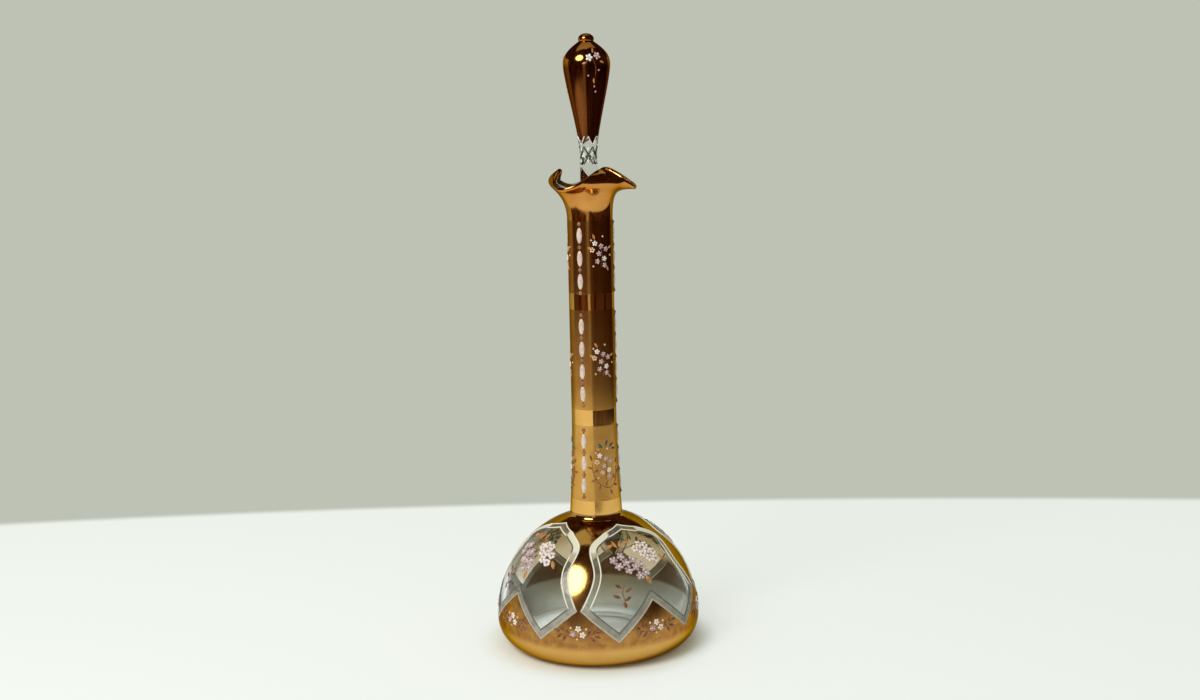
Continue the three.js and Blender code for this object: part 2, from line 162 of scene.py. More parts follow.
# %% [markdown]
# ## The ruffled lip
# A glassmaker shapes the lip last: the hot collar is pulled out and pinched with tongs into three
# lobes. It could be sculpted, but a rule is easier to change. The collar is turned straight
# first. Then each of its points moves to a bent section that swings between a lowered lobe and a
# raised, curled one.

# %% Bend a straight collar into three lobes
LOBES = 3
LOBE_ANGLE = 25
COLLAR_LENGTH = 30 * MM
LIP_ROOT = (NECK_RADIUS + SOCKET_RADIUS) / 2
LOWERED = [(LIP_ROOT, 0), (LIP_ROOT, 17 * MM), (15 * MM, 19 * MM), (26 * MM, 18.5 * MM)]
RAISED = [(LIP_ROOT, 0), (LIP_ROOT, 22 * MM), (31 * MM, 18.5 * MM), (17 * MM, 28 * MM)]
TANGENT_STEP = 0.001


def lip_pulls(angle):
    wave = (1 + math.cos(math.radians(LOBES * (angle - LOBE_ANGLE)))) / 2
    return [Vector(low).lerp(Vector(high), wave) for low, high in zip(LOWERED, RAISED)]


def ruffle(bm):
    """Moves every point above the neck from the straight collar to its place on the lobes."""
    for vert in bm.verts:
        share = (vert.co.z - LIP_BASE) / COLLAR_LENGTH
        if share <= 0:
            continue
        angle = angle_of(vert.co)
        pulls = lip_pulls(angle)
        on_curve = min(share, 1)
        ahead = pulled(pulls, on_curve + TANGENT_STEP)
        along = (ahead - pulled(pulls, on_curve - TANGENT_STEP)).normalized()
        outwards = Vector((along.y, -along.x))
        offset = math.hypot(vert.co.x, vert.co.y) - LIP_ROOT
        past_rim = along * (share - on_curve) * COLLAR_LENGTH
        spot = pulled(pulls, on_curve) + past_rim + outwards * offset
        vert.co = round_axis(angle, spot.x, LIP_BASE + spot.y)


def collar_half_wall(share):
    root_wall = NECK_RADIUS - SOCKET_RADIUS
    return (root_wall + (LIP_WALL - root_wall) * share) / 2


print("lip of", LOBES, "lobes over", round(LIP_BASE / MM, 1), "mm")

# %% [markdown]
# ## Finishes as expressions
# A material here is a few numbers and masks that are added, multiplied and compared. Drawing that
# as nodes by hand is slow, so one small class wraps a socket: arithmetic on it adds Math nodes,
# and `add` makes any other.

# %% A socket that does arithmetic
class Wire:
    """One socket of a material's node tree."""

    def __init__(self, tree, socket=None):
        self.tree = tree
        self.socket = socket

    def add(self, kind, settings, inputs, output=0):
        """Adds a node: its settings first, then the values or links of its sockets."""
        node = self.tree.nodes.new("ShaderNode" + kind)
        for name, value in settings.items():
            setattr(node, name, value)
        for key, value in inputs.items():
            if isinstance(value, Wire):
                self.tree.links.new(value.socket, node.inputs[key])
            else:
                node.inputs[key].default_value = value
        return Wire(self.tree, node.outputs[output])

    def maths(self, operation, first, second):
        return self.add("Math", {"operation": operation}, {0: first, 1: second})

    def __add__(self, other):
        return self.maths("ADD", self, other)

    def __sub__(self, other):
        return self.maths("SUBTRACT", self, other)

    def __rsub__(self, other):
        return self.maths("SUBTRACT", other, self)

    def __mul__(self, other):
        return self.maths("MULTIPLY", self, other)

    def __gt__(self, other):
        return self.maths("GREATER_THAN", self, other)

    def __lt__(self, other):
        return self.maths("LESS_THAN", self, other)

    __radd__ = __add__
    __rmul__ = __mul__


def new_finish(name, **constants):
    """A material with a Principled shader, whose unchanging sockets are set here."""
    material = bpy.data.materials.new(name)
    material.use_nodes = True
    shader = material.node_tree.nodes["Principled BSDF"]
    for socket, value in constants.items():
        shader.inputs[socket.replace("_", " ")].default_value = value
    return material, shader, Wire(material.node_tree)


def feed(shader, **sockets):
    for socket, wire in sockets.items():
        wire.tree.links.new(wire.socket, shader.inputs[socket.replace("_", " ")])


def share_surface(material, share, shader, other):
    """Shows another shader in place of the Principled one, by a share from 0 to 1."""
    wire = Wire(material.node_tree)
    principled = Wire(wire.tree, shader.outputs[0])
    surface = wire.add("MixShader", {}, {0: share, 1: principled, 2: other})
    output = material.node_tree.nodes["Material Output"]
    wire.tree.links.new(surface.socket, output.inputs["Surface"])


print("arithmetic on sockets: +, -, *, > and <")

# %% [markdown]
# ## Patterns that several finishes share
# Cloudy changes, fine grain and bumps come from noise in Object coordinates, in metres. Pieces
# sit at the origin unturned, so the pattern keeps its scale and place on each of them.

# %% Noise, mixing and bumps
def place_on_piece(wire):
    return wire.add("TexCoord", {}, {}, output="Object")


def clouds(wire, size, detail=2.0, stretch=(1, 1, 1)):
    """Soft noise from 0 to 1 with features of about a size, longer along a stretched axis."""
    scale = tuple(1 / side for side in stretch)
    spot = wire.add("Mapping", {}, {"Vector": place_on_piece(wire), "Scale": scale})
    return wire.add("TexNoise", {}, {"Vector": spot, "Scale": 1 / size, "Detail": detail})


def mixed(wire, share, first, second):
    """A colour between two colours."""
    colours = {"data_type": "RGBA"}
    inputs = {"Factor": share, 6: as_colour(first), 7: as_colour(second)}
    return wire.add("Mix", colours, inputs, output=2)


def as_colour(value):
    return value if isinstance(value, Wire) else (*value, 1)


def eased(wire, value, low, high):
    """0 below low, 1 above high, smooth in between."""
    limits = {"Value": value, "From Min": low, "From Max": high}
    return wire.add("MapRange", {"interpolation_type": "SMOOTHSTEP"}, limits)


def bumped(wire, height, depth, strength=1.0):
    return wire.add("Bump", {}, {"Height": height, "Distance": depth, "Strength": strength})


def along_axis(wire, axis):
    """The place on the piece along X, Y or Z, in metres."""
    return wire.add("SeparateXYZ", {}, {"Vector": place_on_piece(wire)}, output=axis)


def height_of(wire):
    return along_axis(wire, "Z")


def turn_of(wire):
    """The angle round the axis from the front, in radians."""
    return wire.maths("ARCTAN2", along_axis(wire, "X"), 0 - along_axis(wire, "Y"))


print("noise is in metres: a size of", 5 * MM, "is 5 mm")

# %% [markdown]
# ## Clear glass
# Old blown glass is faintly smoky, with slow waves and a few dull rubbed spots. The fired gold
# gave the shoulder of the bowl an amber flush, set here by height. A Principled shader with full
# transmission and an index of 1.5 gives the glass, and slow noise the waves. Seen at a slant the
# wall is thick, and there it is darkened as a painted shade for its dark edges. Plug and socket
# were ground with sand to fit, which left them matt. Shadow rays pass straight through, so the
# lamp reaches the inside.

# %% The clear glass finish
SMOKY_GLASS = (0.93, 0.935, 0.905)
AMBER_FLUSH = (0.60, 0.50, 0.32)
FLUSH_HEIGHTS = (38 * MM, 54 * MM)
THICK_GLASS_SHADE = (0.38, 0.39, 0.36)
LET_THROUGH = (0.95, 0.97, 0.96, 1)


def make_blown_glass():
    material, shader, wire = new_finish("blown_glass", Transmission_Weight=1.0, IOR=1.5)
    rubbed = eased(wire, clouds(wire, 6 * MM, 3.0), 0.62, 0.75)
    facing = wire.add("LayerWeight", {}, {"Blend": 0.5}, output="Facing")
    # painted shade: the glass's colour is darkened where its wall is seen at a slant
    slanting_shade = eased(wire, facing, 0.6, 0.95)
    height = height_of(wire)
    ground = (height > LIP_BASE - SOCKET_LENGTH) * (height < LIP_BASE)
    shoulder = eased(wire, height, *FLUSH_HEIGHTS) * (height < NECK_FOOT)
    clear = mixed(wire, shoulder, SMOKY_GLASS, AMBER_FLUSH)
    feed(
        shader,
        Base_Color=mixed(wire, slanting_shade, clear, THICK_GLASS_SHADE),
        Roughness=0.012 + 0.05 * rubbed + 0.3 * ground,
        Normal=bumped(wire, clouds(wire, 14 * MM), 0.05 * MM, 0.35),
    )
    shadow = wire.add("LightPath", {}, {}, output="Is Shadow Ray")
    through = wire.add("BsdfTransparent", {}, {"Color": LET_THROUGH})
    share_surface(material, shadow, shader, through)
    return material


blown_glass = make_blown_glass()
print("finish:", blown_glass.name)

# %% [markdown]
# ## Fired gold
# Bright gold is painted on as a brown resin and comes out of the kiln as a mirror. Most of it
# here was left a little satin and cloudy, more so low on the bowl and on the neck's panels. Bands
# on the neck and a rim at the foot were burnished with a stone, so they are sharper and paler.
# The gold turns coppery higher up the neck. On the neck's upper panels, and on the stopper's drop
# up to its crown, it is darkened to deep red-brown: partly a redder lustre and partly a painted
# dark reflection of the dark room. One metal shader serves all of it: zones are found by height,
# and noise gives clouds, brush marks and worn pinholes.

# %% The gold finish
BURNISHED = [
    (LOWER_BASE - FOOT_BAND, LOWER_BASE),
    (MIDDLE_BASE - BURNISHED_BAND, MIDDLE_BASE),
    (UPPER_BASE - BURNISHED_BAND, UPPER_BASE),
]
FOOT_RIM = 14.8 * MM
LOW_ZONE_TOP = (34 * MM, 48 * MM)
COPPERY_HEIGHTS = (100 * MM, 260 * MM)
RED_HEIGHTS = (LOWER_BASE + LOWER_SECTION, MIDDLE_BASE + 0.3 * MIDDLE_SECTION)
CROWN_FADE = (LIP_BASE + 86 * MM, LIP_BASE + 91 * MM)
COPPERY_GOLD = (0.55, 0.20, 0.045)
YELLOW_GOLD = (0.72, 0.39, 0.095)
PALE_GOLD = (0.95, 0.60, 0.18)
DAPPLED_GOLD = (0.34, 0.15, 0.045)
WORN_BROWN = (0.16, 0.055, 0.02)
DARK_REFLECTION_RED = (0.18, 0.05, 0.011)
EDGE_TINT = (0.42, 0.33, 0.2, 1)
DULL_BACK = [(0.15, 0.055, 0.008), (0.34, 0.155, 0.03)]
PAINTED_LIGHT_BACK = [(0.72, 0.73, 0.66), (0.88, 0.88, 0.81)]


def make_gold():
    material, shader, wire = new_finish("fired_gold", Metallic=1.0, Specular_Tint=EDGE_TINT)
    height = height_of(wire)
    rim = 1 - eased(wire, height, FOOT_RIM - 3 * MM, FOOT_RIM + 2 * MM)
    burnished = rim
    for low, high in BURNISHED:
        burnished = burnished + (height > low) * (height < high)
    cloudy = clouds(wire, 9 * MM, 4.0)
    brushed = clouds(wire, 0.8 * MM, 3.0, stretch=(1, 1, 9))
    grain = clouds(wire, 0.35 * MM, 2.0)
    pinholes = eased(wire, clouds(wire, 0.7 * MM, 3.0), 0.69, 0.74) * (1 - burnished)
    low_zone = 1 - eased(wire, height, *LOW_ZONE_TOP)
    panels = (height > LOWER_BASE) * (height < LIP_BASE) * (1 - burnished)
    coppery = 0.55 * eased(wire, height, *COPPERY_HEIGHTS)
    tone = mixed(wire, coppery + 0.3 * eased(wire, cloudy, 0.35, 0.7), YELLOW_GOLD, COPPERY_GOLD)
    spots = eased(wire, clouds(wire, 4 * MM, 3.0), 0.3, 0.7)
    dapple = 0.35 + (1 - rim) * (0.2 + 0.4 * spots)
    tone = mixed(wire, low_zone * dapple, tone, DAPPLED_GOLD)
    tone = mixed(wire, 0.3 * burnished, tone, PALE_GOLD)
    # painted dark reflection: the upper neck panels and the stopper's drop are darkened towards
    # deep red-brown
    panel_dark_reflection = panels * eased(wire, height, *RED_HEIGHTS)
    # the painted dark reflection fades at the crown, so the highlight there stays golden
    below_crown = 1 - 0.75 * eased(wire, height, *CROWN_FADE)
    stopper_dark_reflection = (height > LIP_BASE + COLLAR_LENGTH) * below_crown
    tone = mixed(wire, 0.45 * panel_dark_reflection + 0.95 * stopper_dark_reflection, tone, DARK_REFLECTION_RED)
    tone = mixed(wire, 0.7 * pinholes, tone, WORN_BROWN)
    satin = 0.06 + 0.06 * cloudy + 0.04 * brushed + 0.2 * pinholes
    satin = satin + 0.14 * low_zone + 0.1 * panels
    feed(
        shader,
        Base_Color=tone,
        Roughness=satin * (1 - burnished) + 0.05 * burnished,
        Normal=bumped(wire, grain * (1 - burnished) + 0.5 * brushed, 0.02 * MM, 0.5),
    )
    return material


def make_gold_underside():
    """The gold seen through the glass: dull brown, and low down, behind the foot rim, pale grey, a
    painted light for lit cloth seen through the glass floor.
    """
    material, shader, wire = new_finish("gold_underside", Specular_IOR_Level=0.15)
    dull = mixed(wire, clouds(wire, 4 * MM, 3.0), *DULL_BACK)
    # painted light: pale grey low on the back of the gold, for lit cloth seen through the glass
    # floor
    pale = mixed(wire, clouds(wire, 5 * MM, 3.0), *PAINTED_LIGHT_BACK)
    over_rim = eased(wire, height_of(wire), FOOT_RIM + 4 * MM, FOOT_RIM + 7 * MM)
    feed(
        shader,
        Base_Color=mixed(wire, over_rim, pale, dull),
        Roughness=0.45 + 0.2 * clouds(wire, 1 * MM),
    )
    return material


fired_gold = make_gold()
gold_underside = make_gold_underside()
print("finish:", fired_gold.name, "with", len(BURNISHED) + 1, "burnished bands")

# %% [markdown]
# ## Enamels
# Enamel is ground glass in colour, laid on thick so that it stands up, and fired to a soft gloss.
# Each colour is one material with small changes of tone. The frosted strip round a window is
# thinner: it lets what is behind it through, so its Alpha changes with a fine etched grain.

# %% The enamel finishes
CREAM = (0.84, 0.77, 0.62)
BRIGHT_CREAM = (0.95, 0.92, 0.83)
FROST = [(0.27, 0.24, 0.19), (0.42, 0.38, 0.31)]
FROST_TOP = (35 * MM, 42 * MM)
RIBBON_SIDE = (math.radians(23), math.radians(27))
RIBBON_HEIGHTS = (62 * MM, 66 * MM)
RIB_SIDE = (math.radians(26), math.radians(34))
PEAK_TOP = (48 * MM, 54 * MM)
ZIGZAG_TOP = (36 * MM, 39 * MM)


def make_enamel(name, deep, light, roughness=0.28):
    material, shader, wire = new_finish(name, Coat_Weight=0.25, Coat_Roughness=0.1)
    patchy = eased(wire, clouds(wire, 1.6 * MM, 2.0), 0.35, 0.65)
    fine = clouds(wire, 0.3 * MM, 2.0)
    feed(
        shader,
        Base_Color=mixed(wire, patchy, deep, light),
        Roughness=roughness + 0.15 * fine,
        Normal=bumped(wire, fine, 0.03 * MM, 0.6),
    )
    return material


def from_rib(wire):
    """The angle from the nearest rib, in radians."""
    past_rib = turn_of(wire) - math.radians(RIB_ANGLE)
    return wire.maths("PINGPONG", past_rib, math.radians(HALF_WINDOW))


def ribbon_ends(wire):
    """1 on the borders over a rib's waist, where the painter filled the strip in, else 0."""
    beside = 1 - eased(wire, from_rib(wire), *RIBBON_SIDE)
    return beside * eased(wire, height_of(wire), *RIBBON_HEIGHTS)


def make_frosted_strip():
    material, shader, wire = new_finish("frosted_strip", Specular_IOR_Level=0.4)
    etched = clouds(wire, 0.25 * MM, 3.0)
    streaks = eased(wire, clouds(wire, 5 * MM, 3.0), 0.3, 0.7)
    thinner = 1 - 0.8 * eased(wire, height_of(wire), *FROST_TOP)
    cover = (0.55 + 0.3 * eased(wire, etched, 0.3, 0.7)) * thinner
    filled = ribbon_ends(wire)
    feed(
        shader,
        Base_Color=mixed(wire, filled, mixed(wire, streaks, *FROST), CREAM),
        Roughness=0.45 + 0.2 * etched,
        Alpha=cover * (1 - filled) + 0.9 * filled,
        Normal=bumped(wire, etched, 0.04 * MM, 0.8),
    )
    return material


def make_outline_enamel(name, deep, light, ends_too):
    """Cream on the ribs, a painted glint; deep to light, a painted dark reflection, on the zigzags
    and, if ends_too is 1, the ribbon ends.
    """
    material, shader, wire = new_finish(name, Coat_Weight=0.3)
    height = height_of(wire)
    off_rib = eased(wire, from_rib(wire), *RIB_SIDE)
    at_peak = off_rib * (1 - eased(wire, height, *PEAK_TOP))
    plain = at_peak + ends_too * ribbon_ends(wire)
    # painted light: the line is cream where it would catch the lamp on the ribs, and dark where it
    # would mirror dark on the zigzags
    glint_cream = mixed(wire, clouds(wire, 1.2 * MM), CREAM, BRIGHT_CREAM)
    below = mixed(wire, clouds(wire, 1.2 * MM), deep, light)
    feed(
        shader,
        Base_Color=mixed(wire, eased(wire, height, *ZIGZAG_TOP) * (1 - plain), below, glint_cream),
        Roughness=0.25 + 0.15 * clouds(wire, 0.3 * MM),
    )
    return material


enamels = [
    make_enamel("white_enamel", (0.80, 0.70, 0.68), (0.93, 0.88, 0.84)),
    make_enamel("lilac_enamel", (0.38, 0.23, 0.26), (0.70, 0.53, 0.56)),
    make_enamel("peach_enamel", (0.78, 0.47, 0.30), (0.90, 0.66, 0.46)),
    make_enamel("brown_enamel", (0.12, 0.03, 0.008), (0.28, 0.10, 0.025), 0.4),
    make_enamel("green_enamel", (0.02, 0.05, 0.035), (0.07, 0.12, 0.07), 0.22),
    make_enamel("amber_enamel", (0.42, 0.16, 0.03), (0.62, 0.30, 0.08), 0.22),
    make_enamel("chain_enamel", (0.60, 0.44, 0.38), (0.76, 0.61, 0.54), 0.2),
    make_enamel("tan_enamel", (0.20, 0.08, 0.03), (0.36, 0.17, 0.07), 0.4),
]
WHITE, LILAC, PEACH, BROWN, GREEN, AMBER, CHAIN, TAN = range(len(enamels))
frosted_strip = make_frosted_strip()
dark_outline = make_outline_enamel("dark_outline", (0.05, 0.05, 0.05), (0.16, 0.15, 0.14), 1)
pale_outline = make_outline_enamel("pale_outline", (0.34, 0.26, 0.18), (0.62, 0.55, 0.46), 0)
print("enamels:", [material.name for material in enamels])

# %% [markdown]
# ## From a bmesh to a piece
# Glass, gold and borders are first welded, with their faces turned outwards. Every piece then ends
# the same way: it gets its finishes and a smooth shade that stops at real edges, and it rides on
# the body that carries it.

# %% Finish a piece
SHARP_ANGLE = math.radians(40)


def face_outwards(bm):
    """Welds the points and turns the faces outwards, or all to one side on an open sheet."""
    bmesh.ops.remove_doubles(bm, verts=bm.verts[:], dist=WELD)
    bmesh.ops.recalc_face_normals(bm, faces=bm.faces[:])


def thickened(bm, depth):
    """Gives an open sheet its thickness, towards the axis."""
    face_outwards(bm)
    level = Vector((1, 1, 0))
    facing = sum(face.normal.dot(face.calc_center_median() * level) for face in bm.faces)
    if facing < 0:
        bmesh.ops.reverse_faces(bm, faces=bm.faces[:])
    inner = bmesh.ops.solidify(bm, geom=bm.faces[:], thickness=depth)["geom"]
    return [item for item in inner if isinstance(item, bmesh.types.BMFace)]


def gold_leaf(name, bm, body, stands_for):
    """Thickens a sheet of gold; the side that lies on the glass gets the finish of its own."""
    for face in thickened(bm, GOLD_THICKNESS):
        face.material_index = 1
    make_piece(name, bm, [fired_gold, gold_underside], body, [stands_for])


def mesh_object(name, bm, finishes):
    mesh = bpy.data.meshes.new(name)
    bm.to_mesh(mesh)
    bm.free()
    for finish in finishes:
        mesh.materials.append(finish)
    piece = bpy.data.objects.new(name, mesh)
    bpy.context.scene.collection.objects.link(piece)
    return piece


def make_piece(name, bm, finishes, body, stands_for=()):
    piece = mesh_object(name, bm, finishes)
    piece.data.shade_smooth()
    piece.data.set_sharp_from_angle(angle=SHARP_ANGLE)
    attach(piece, body)
    if stands_for:
        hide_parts(*stands_for)
    print(name, len(piece.data.polygons), "faces")


print("edges over", round(math.degrees(SHARP_ANGLE)), "degrees stay sharp")

# %% [markdown]
# ## The vessel's glass
# The vessel is blown in one go, so its wall is one closed section: under the foot, up the bowl
# and neck to the collar, over the rim and down the inside. One spin makes it, and the collar is
# ruffled afterwards.

# %% Turn the vessel
GLASS_STEPS = 192


def neck_radius(height):
    fall = 1 - min(1, max(0, (height - NECK_FOOT) / NECK_TAPER))
    return NECK_RADIUS + (NECK_FOOT_RADIUS - NECK_RADIUS) * fall ** 2


def neck_blend(lift, steps):
    shoulder = NECK_FOOT_RADIUS + NECK_BLEND
    pulls = [
        (shoulder + lift, dome_height(shoulder) + lift),
        (NECK_FOOT_RADIUS + lift, dome_height(NECK_FOOT_RADIUS) + lift),
        (NECK_FOOT_RADIUS + lift, NECK_FOOT),
    ]
    return pulled_line(pulls, steps)


def neck_line(lift, start, steps):
    heights = [start + (LIP_BASE - start) * i / steps for i in range(steps + 1)]
    return [Vector((neck_radius(height) + lift, height)) for height in heights]


def collar_line(lift, side, steps):
    """One side of the straight collar: side is 1 for its outside and -1 for its inside."""
    line = []
    for share in [i / steps for i in range(steps + 1)]:
        radius = LIP_ROOT + side * (collar_half_wall(share) + lift)
        line.append(Vector((radius, LIP_BASE + share * COLLAR_LENGTH)))
    return line


def vessel_line():
    kick = pulled_line([(0, KICK_HEIGHT), (KICK_RADIUS / 2, KICK_HEIGHT), (KICK_RADIUS, 0)], 8)
    foot = arc((BOWL_RADIUS - FOOT_ROUND, FOOT_ROUND), (FOOT_ROUND, FOOT_ROUND), -90, 0, 16)
    shoulder = math.degrees(math.acos((NECK_FOOT_RADIUS + NECK_BLEND) / BOWL_RADIUS))
    dome = arc((0, FOOT_ROUND), (BOWL_RADIUS, DOME_HEIGHT), 0, shoulder, 40)
    rim = arc((LIP_ROOT, LIP_BASE + COLLAR_LENGTH), (LIP_WALL / 2, LIP_WALL / 2), 0, 180, 8)
    inner_radii = (BOWL_RADIUS - BOWL_WALL, DOME_HEIGHT - BOWL_WALL)
    throat_angle = math.degrees(math.acos((BORE_RADIUS + NECK_BLEND) / inner_radii[0]))
    inner_dome = arc((0, FOOT_ROUND), inner_radii, throat_angle, 0, 40)
    throat_top = inner_dome[0].y
    throat_pulls = [(BORE_RADIUS, throat_top + NECK_BLEND), (BORE_RADIUS, throat_top)]
    throat = pulled_line([*throat_pulls, inner_dome[0]], 6)
    floor_centre = (inner_radii[0] - FLOOR_ROUND, FOOT_ROUND)
    floor = arc(floor_centre, (FLOOR_ROUND, FOOT_ROUND - FLOOR_THICKNESS), 0, -90, 10)
    crown_top = (0, FLOOR_THICKNESS + KICK_HEIGHT)
    crown = pulled_line([floor[-1], (floor[-1].x / 2, FLOOR_THICKNESS), crown_top], 8)
    return [
        *kick,
        *foot,
        *dome[1:],
        *neck_blend(0, 6)[1:],
        *neck_line(0, NECK_FOOT, 30)[1:],
        *collar_line(0, 1, 28)[1:],
        *rim[1:],
        *reversed(collar_line(0, -1, 28)[:-1]),
        Vector((BORE_RADIUS, LIP_BASE - SOCKET_LENGTH)),
        *throat,
        *inner_dome[1:],
        *floor[1:],
        *crown[1:],
    ]


vessel = bmesh.new()
turned(vessel, vessel_line(), GLASS_STEPS)
ruffle(vessel)
face_outwards(vessel)
make_piece("vessel_wall", vessel, [blown_glass], "vessel", ["vessel_glass"])

# %% [markdown]
# ## The stopper's glass
# The stopper is solid: a ground plug, a thin shank and a drop with a button. Two rows of olives
# are ground into the shank by the rim of a wheel. A boolean could cut them, but its loose
# triangles would spoil the shine, so the shank's points are pushed in to where the wheel would
# reach.

# %% Turn the stopper and grind its olives
PLUG_CLEARANCE = 0.3 * MM
PLUG_BEVEL = 1 * MM
PLUG_SHOULDER = 4 * MM
SHANK_RADIUS = 5.1 * MM
SHANK_TOP = LIP_BASE + 43.3 * MM
DROP_WIDEST = SHANK_TOP + 45.5 * MM
DROP_RADIUS = 13.3 * MM
CROWN_HEIGHT = 13.7 * MM
BUTTON_RADIUS = 4.3 * MM
BUTTON_HALF = 2.94 * MM
BUTTON_WAIST = 0.92
OLIVES = 6
OLIVE_DEPTH = 0.6 * MM
OLIVE_WHEEL = 11 * MM
OLIVE_ROWS = [SHANK_TOP - 3.83 * MM, SHANK_TOP - 8.83 * MM]
STOPPER_STEPS = 144
SHANK_ROWS = 110
TAPER_PULL = (2 * MM, 15 * MM)
WIDEST_PULL = 8 * MM
CROWN_PULL = 5.5 * MM
BUTTON_PULL = Vector((5 * MM, -3.5 * MM))


def drop_line(lift):
    """The drop from the shank's top to the tip of its button."""
    taper = [
        (SHANK_RADIUS + lift, SHANK_TOP),
        (SHANK_RADIUS + TAPER_PULL[0] + lift, SHANK_TOP + TAPER_PULL[1]),
        (DROP_RADIUS + lift, DROP_WIDEST - WIDEST_PULL),
        (DROP_RADIUS + lift, DROP_WIDEST),
    ]
    waist = BUTTON_RADIUS * BUTTON_WAIST + lift
    button_start = -math.degrees(math.acos(waist / (BUTTON_RADIUS + lift)))
    button_radii = (BUTTON_RADIUS + lift, BUTTON_HALF + lift)
    button = arc((0, DROP_WIDEST + CROWN_HEIGHT), button_radii, button_start, 90, 18)
    crown = [
        (DROP_RADIUS + lift, DROP_WIDEST),
        (DROP_RADIUS + lift, DROP_WIDEST + CROWN_PULL),
        button[0] + BUTTON_PULL,
        button[0],
    ]
    return [*pulled_line(taper, 36), *pulled_line(crown, 24)[1:], *button[1:]]


def stopper_line():
    plug_top = SOCKET_RADIUS - PLUG_CLEARANCE
    plug_end = BORE_RADIUS - PLUG_CLEARANCE
    bottom = LIP_BASE - SOCKET_LENGTH
    base = LIP_BASE + PLUG_SHOULDER
    shoulder = [(plug_top, LIP_BASE), (SHANK_RADIUS, LIP_BASE), (SHANK_RADIUS, base)]
    heights = [base + (SHANK_TOP - base) * i / SHANK_ROWS for i in range(1, SHANK_ROWS)]
    return [
        Vector((0, bottom)),
        Vector((plug_end - PLUG_BEVEL, bottom)),
        Vector((plug_end, bottom + PLUG_BEVEL)),
        *pulled_line(shoulder, 10),
        *[Vector((SHANK_RADIUS, height)) for height in heights],
        *drop_line(0),
    ]


def ground_radius(angle, height, radius):
    """What the wheel leaves of a radius of the shank where it grinds the olives."""
    step = 360 / OLIVES
    for row, middle in enumerate(OLIVE_ROWS):
        reach = OLIVE_WHEEL ** 2 - (height - middle) ** 2
        if reach > 0:
            off_centre = (angle + step * (row + 1) / 2) % step - step / 2
            depth = SHANK_RADIUS - OLIVE_DEPTH + OLIVE_WHEEL - math.sqrt(reach)
            radius = min(radius, depth / math.cos(math.radians(off_centre)))
    return radius


def grind_olives(bm):
    for vert in bm.verts:
        radius = math.hypot(vert.co.x, vert.co.y)
        if radius > SHANK_RADIUS / 2 and vert.co.z > LIP_BASE:
            angle = angle_of(vert.co)
            vert.co = round_axis(angle, ground_radius(angle, vert.co.z, radius), vert.co.z)


stopper = bmesh.new()
turned(stopper, stopper_line(), STOPPER_STEPS)
grind_olives(stopper)
face_outwards(stopper)
make_piece("stopper_body", stopper, [blown_glass], "stopper", ["stopper_glass"])

# %% [markdown]
# ## Gold on the bowl
# The gold was painted round four window shapes left clear. Cutting windows out of a dome with
# booleans leaves ragged shading, which a mirror shows at once. Instead flat grids are pressed on
# to the dome, with their edges along the window lines: one zone below the zigzags, four ribs that
# open into tongues, and the collar they meet. The leaf stands 0.3 mm proud and reaches 0.1 mm
# into the glass, so no film of air shines behind it.

# %% Points on the bowl
GOLD_LIFT = 0.3 * MM
GOLD_THICKNESS = 0.4 * MM
RIB_FOOT = (0.9, 19.5)
RIB_BELLY = (8.3, 38)
RIB_WAIST = (4.5, 55.5)
TONGUE_SIDE = (19, 65)
COLLAR_ELEVATION = 71
WINDOW_POINT = (HALF_WINDOW / 2, 2)
MIDDLE_PEAK = (HALF_WINDOW, 22)
FOOT_EDGE = -75
RIB_STEPS = 16
TONGUE_STEPS = 10
ZIGZAG_STEPS = 20


def on_bowl(angle, elevation, lift):
    """A point on the dome, seen from its centre, or on the foot round below it."""
    tilt = math.radians(elevation)
    if elevation < 0:
        radius = FOOT_ROUND + lift
        across = BOWL_RADIUS - FOOT_ROUND + radius * math.cos(tilt)
        return round_axis(angle, across, FOOT_ROUND + radius * math.sin(tilt))
    flat_share = math.cos(tilt) / (BOWL_RADIUS + lift)
    reach = 1 / math.hypot(flat_share, math.sin(tilt) / (DOME_HEIGHT + lift))
    return round_axis(angle, reach * math.cos(tilt), FOOT_ROUND + reach * math.sin(tilt))


def smooth_line(knots, steps):
    """A smooth line through the knots, as a row of Bezier pieces."""
    spots = [Vector(knot) for knot in knots]
    line = [spots[0]]
    for i, (start, stop) in enumerate(zip(spots, spots[1:])):
        before = spots[max(i - 1, 0)]
        after = spots[min(i + 2, len(spots) - 1)]
        pull_out = start + (stop - before) / 6
        pull_in = stop - (after - start) / 6
        line += interpolate_bezier(start, pull_out, pull_in, stop, steps + 1)[1:]
    return line


def across_window(line):
    """The same line on the other side of the window's middle, walked the other way."""
    return [Vector((2 * HALF_WINDOW - spot.x, spot.y)) for spot in reversed(line)]


rib_side = smooth_line([RIB_FOOT, RIB_BELLY, RIB_WAIST, TONGUE_SIDE], RIB_STEPS)
tongue_edge = straight_line(TONGUE_SIDE, (HALF_WINDOW, COLLAR_ELEVATION), TONGUE_STEPS)
zigzag_down = straight_line(RIB_FOOT, WINDOW_POINT, ZIGZAG_STEPS)
zigzag_up = straight_line(WINDOW_POINT, MIDDLE_PEAK, ZIGZAG_STEPS)
zigzag = [*zigzag_down, *zigzag_up[1:]]
print("half a window has", len(rib_side) + len(tongue_edge) + len(zigzag), "points")

# %% Press the gold on to the bowl
RIB_COLUMNS = 24
ZONE_ROWS = 26
COLLAR_ROWS = 4


def pressed(bm, columns, rows, place):
    """Lays a flat grid on a form: place gives the point for a column and a row."""
    sheet = bmesh.ops.create_grid(bm, x_segments=columns, y_segments=rows, size=0.5)["verts"]
    for vert in sheet:
        vert.co = place(round((vert.co.x + 0.5) * columns), round((vert.co.y + 0.5) * rows))


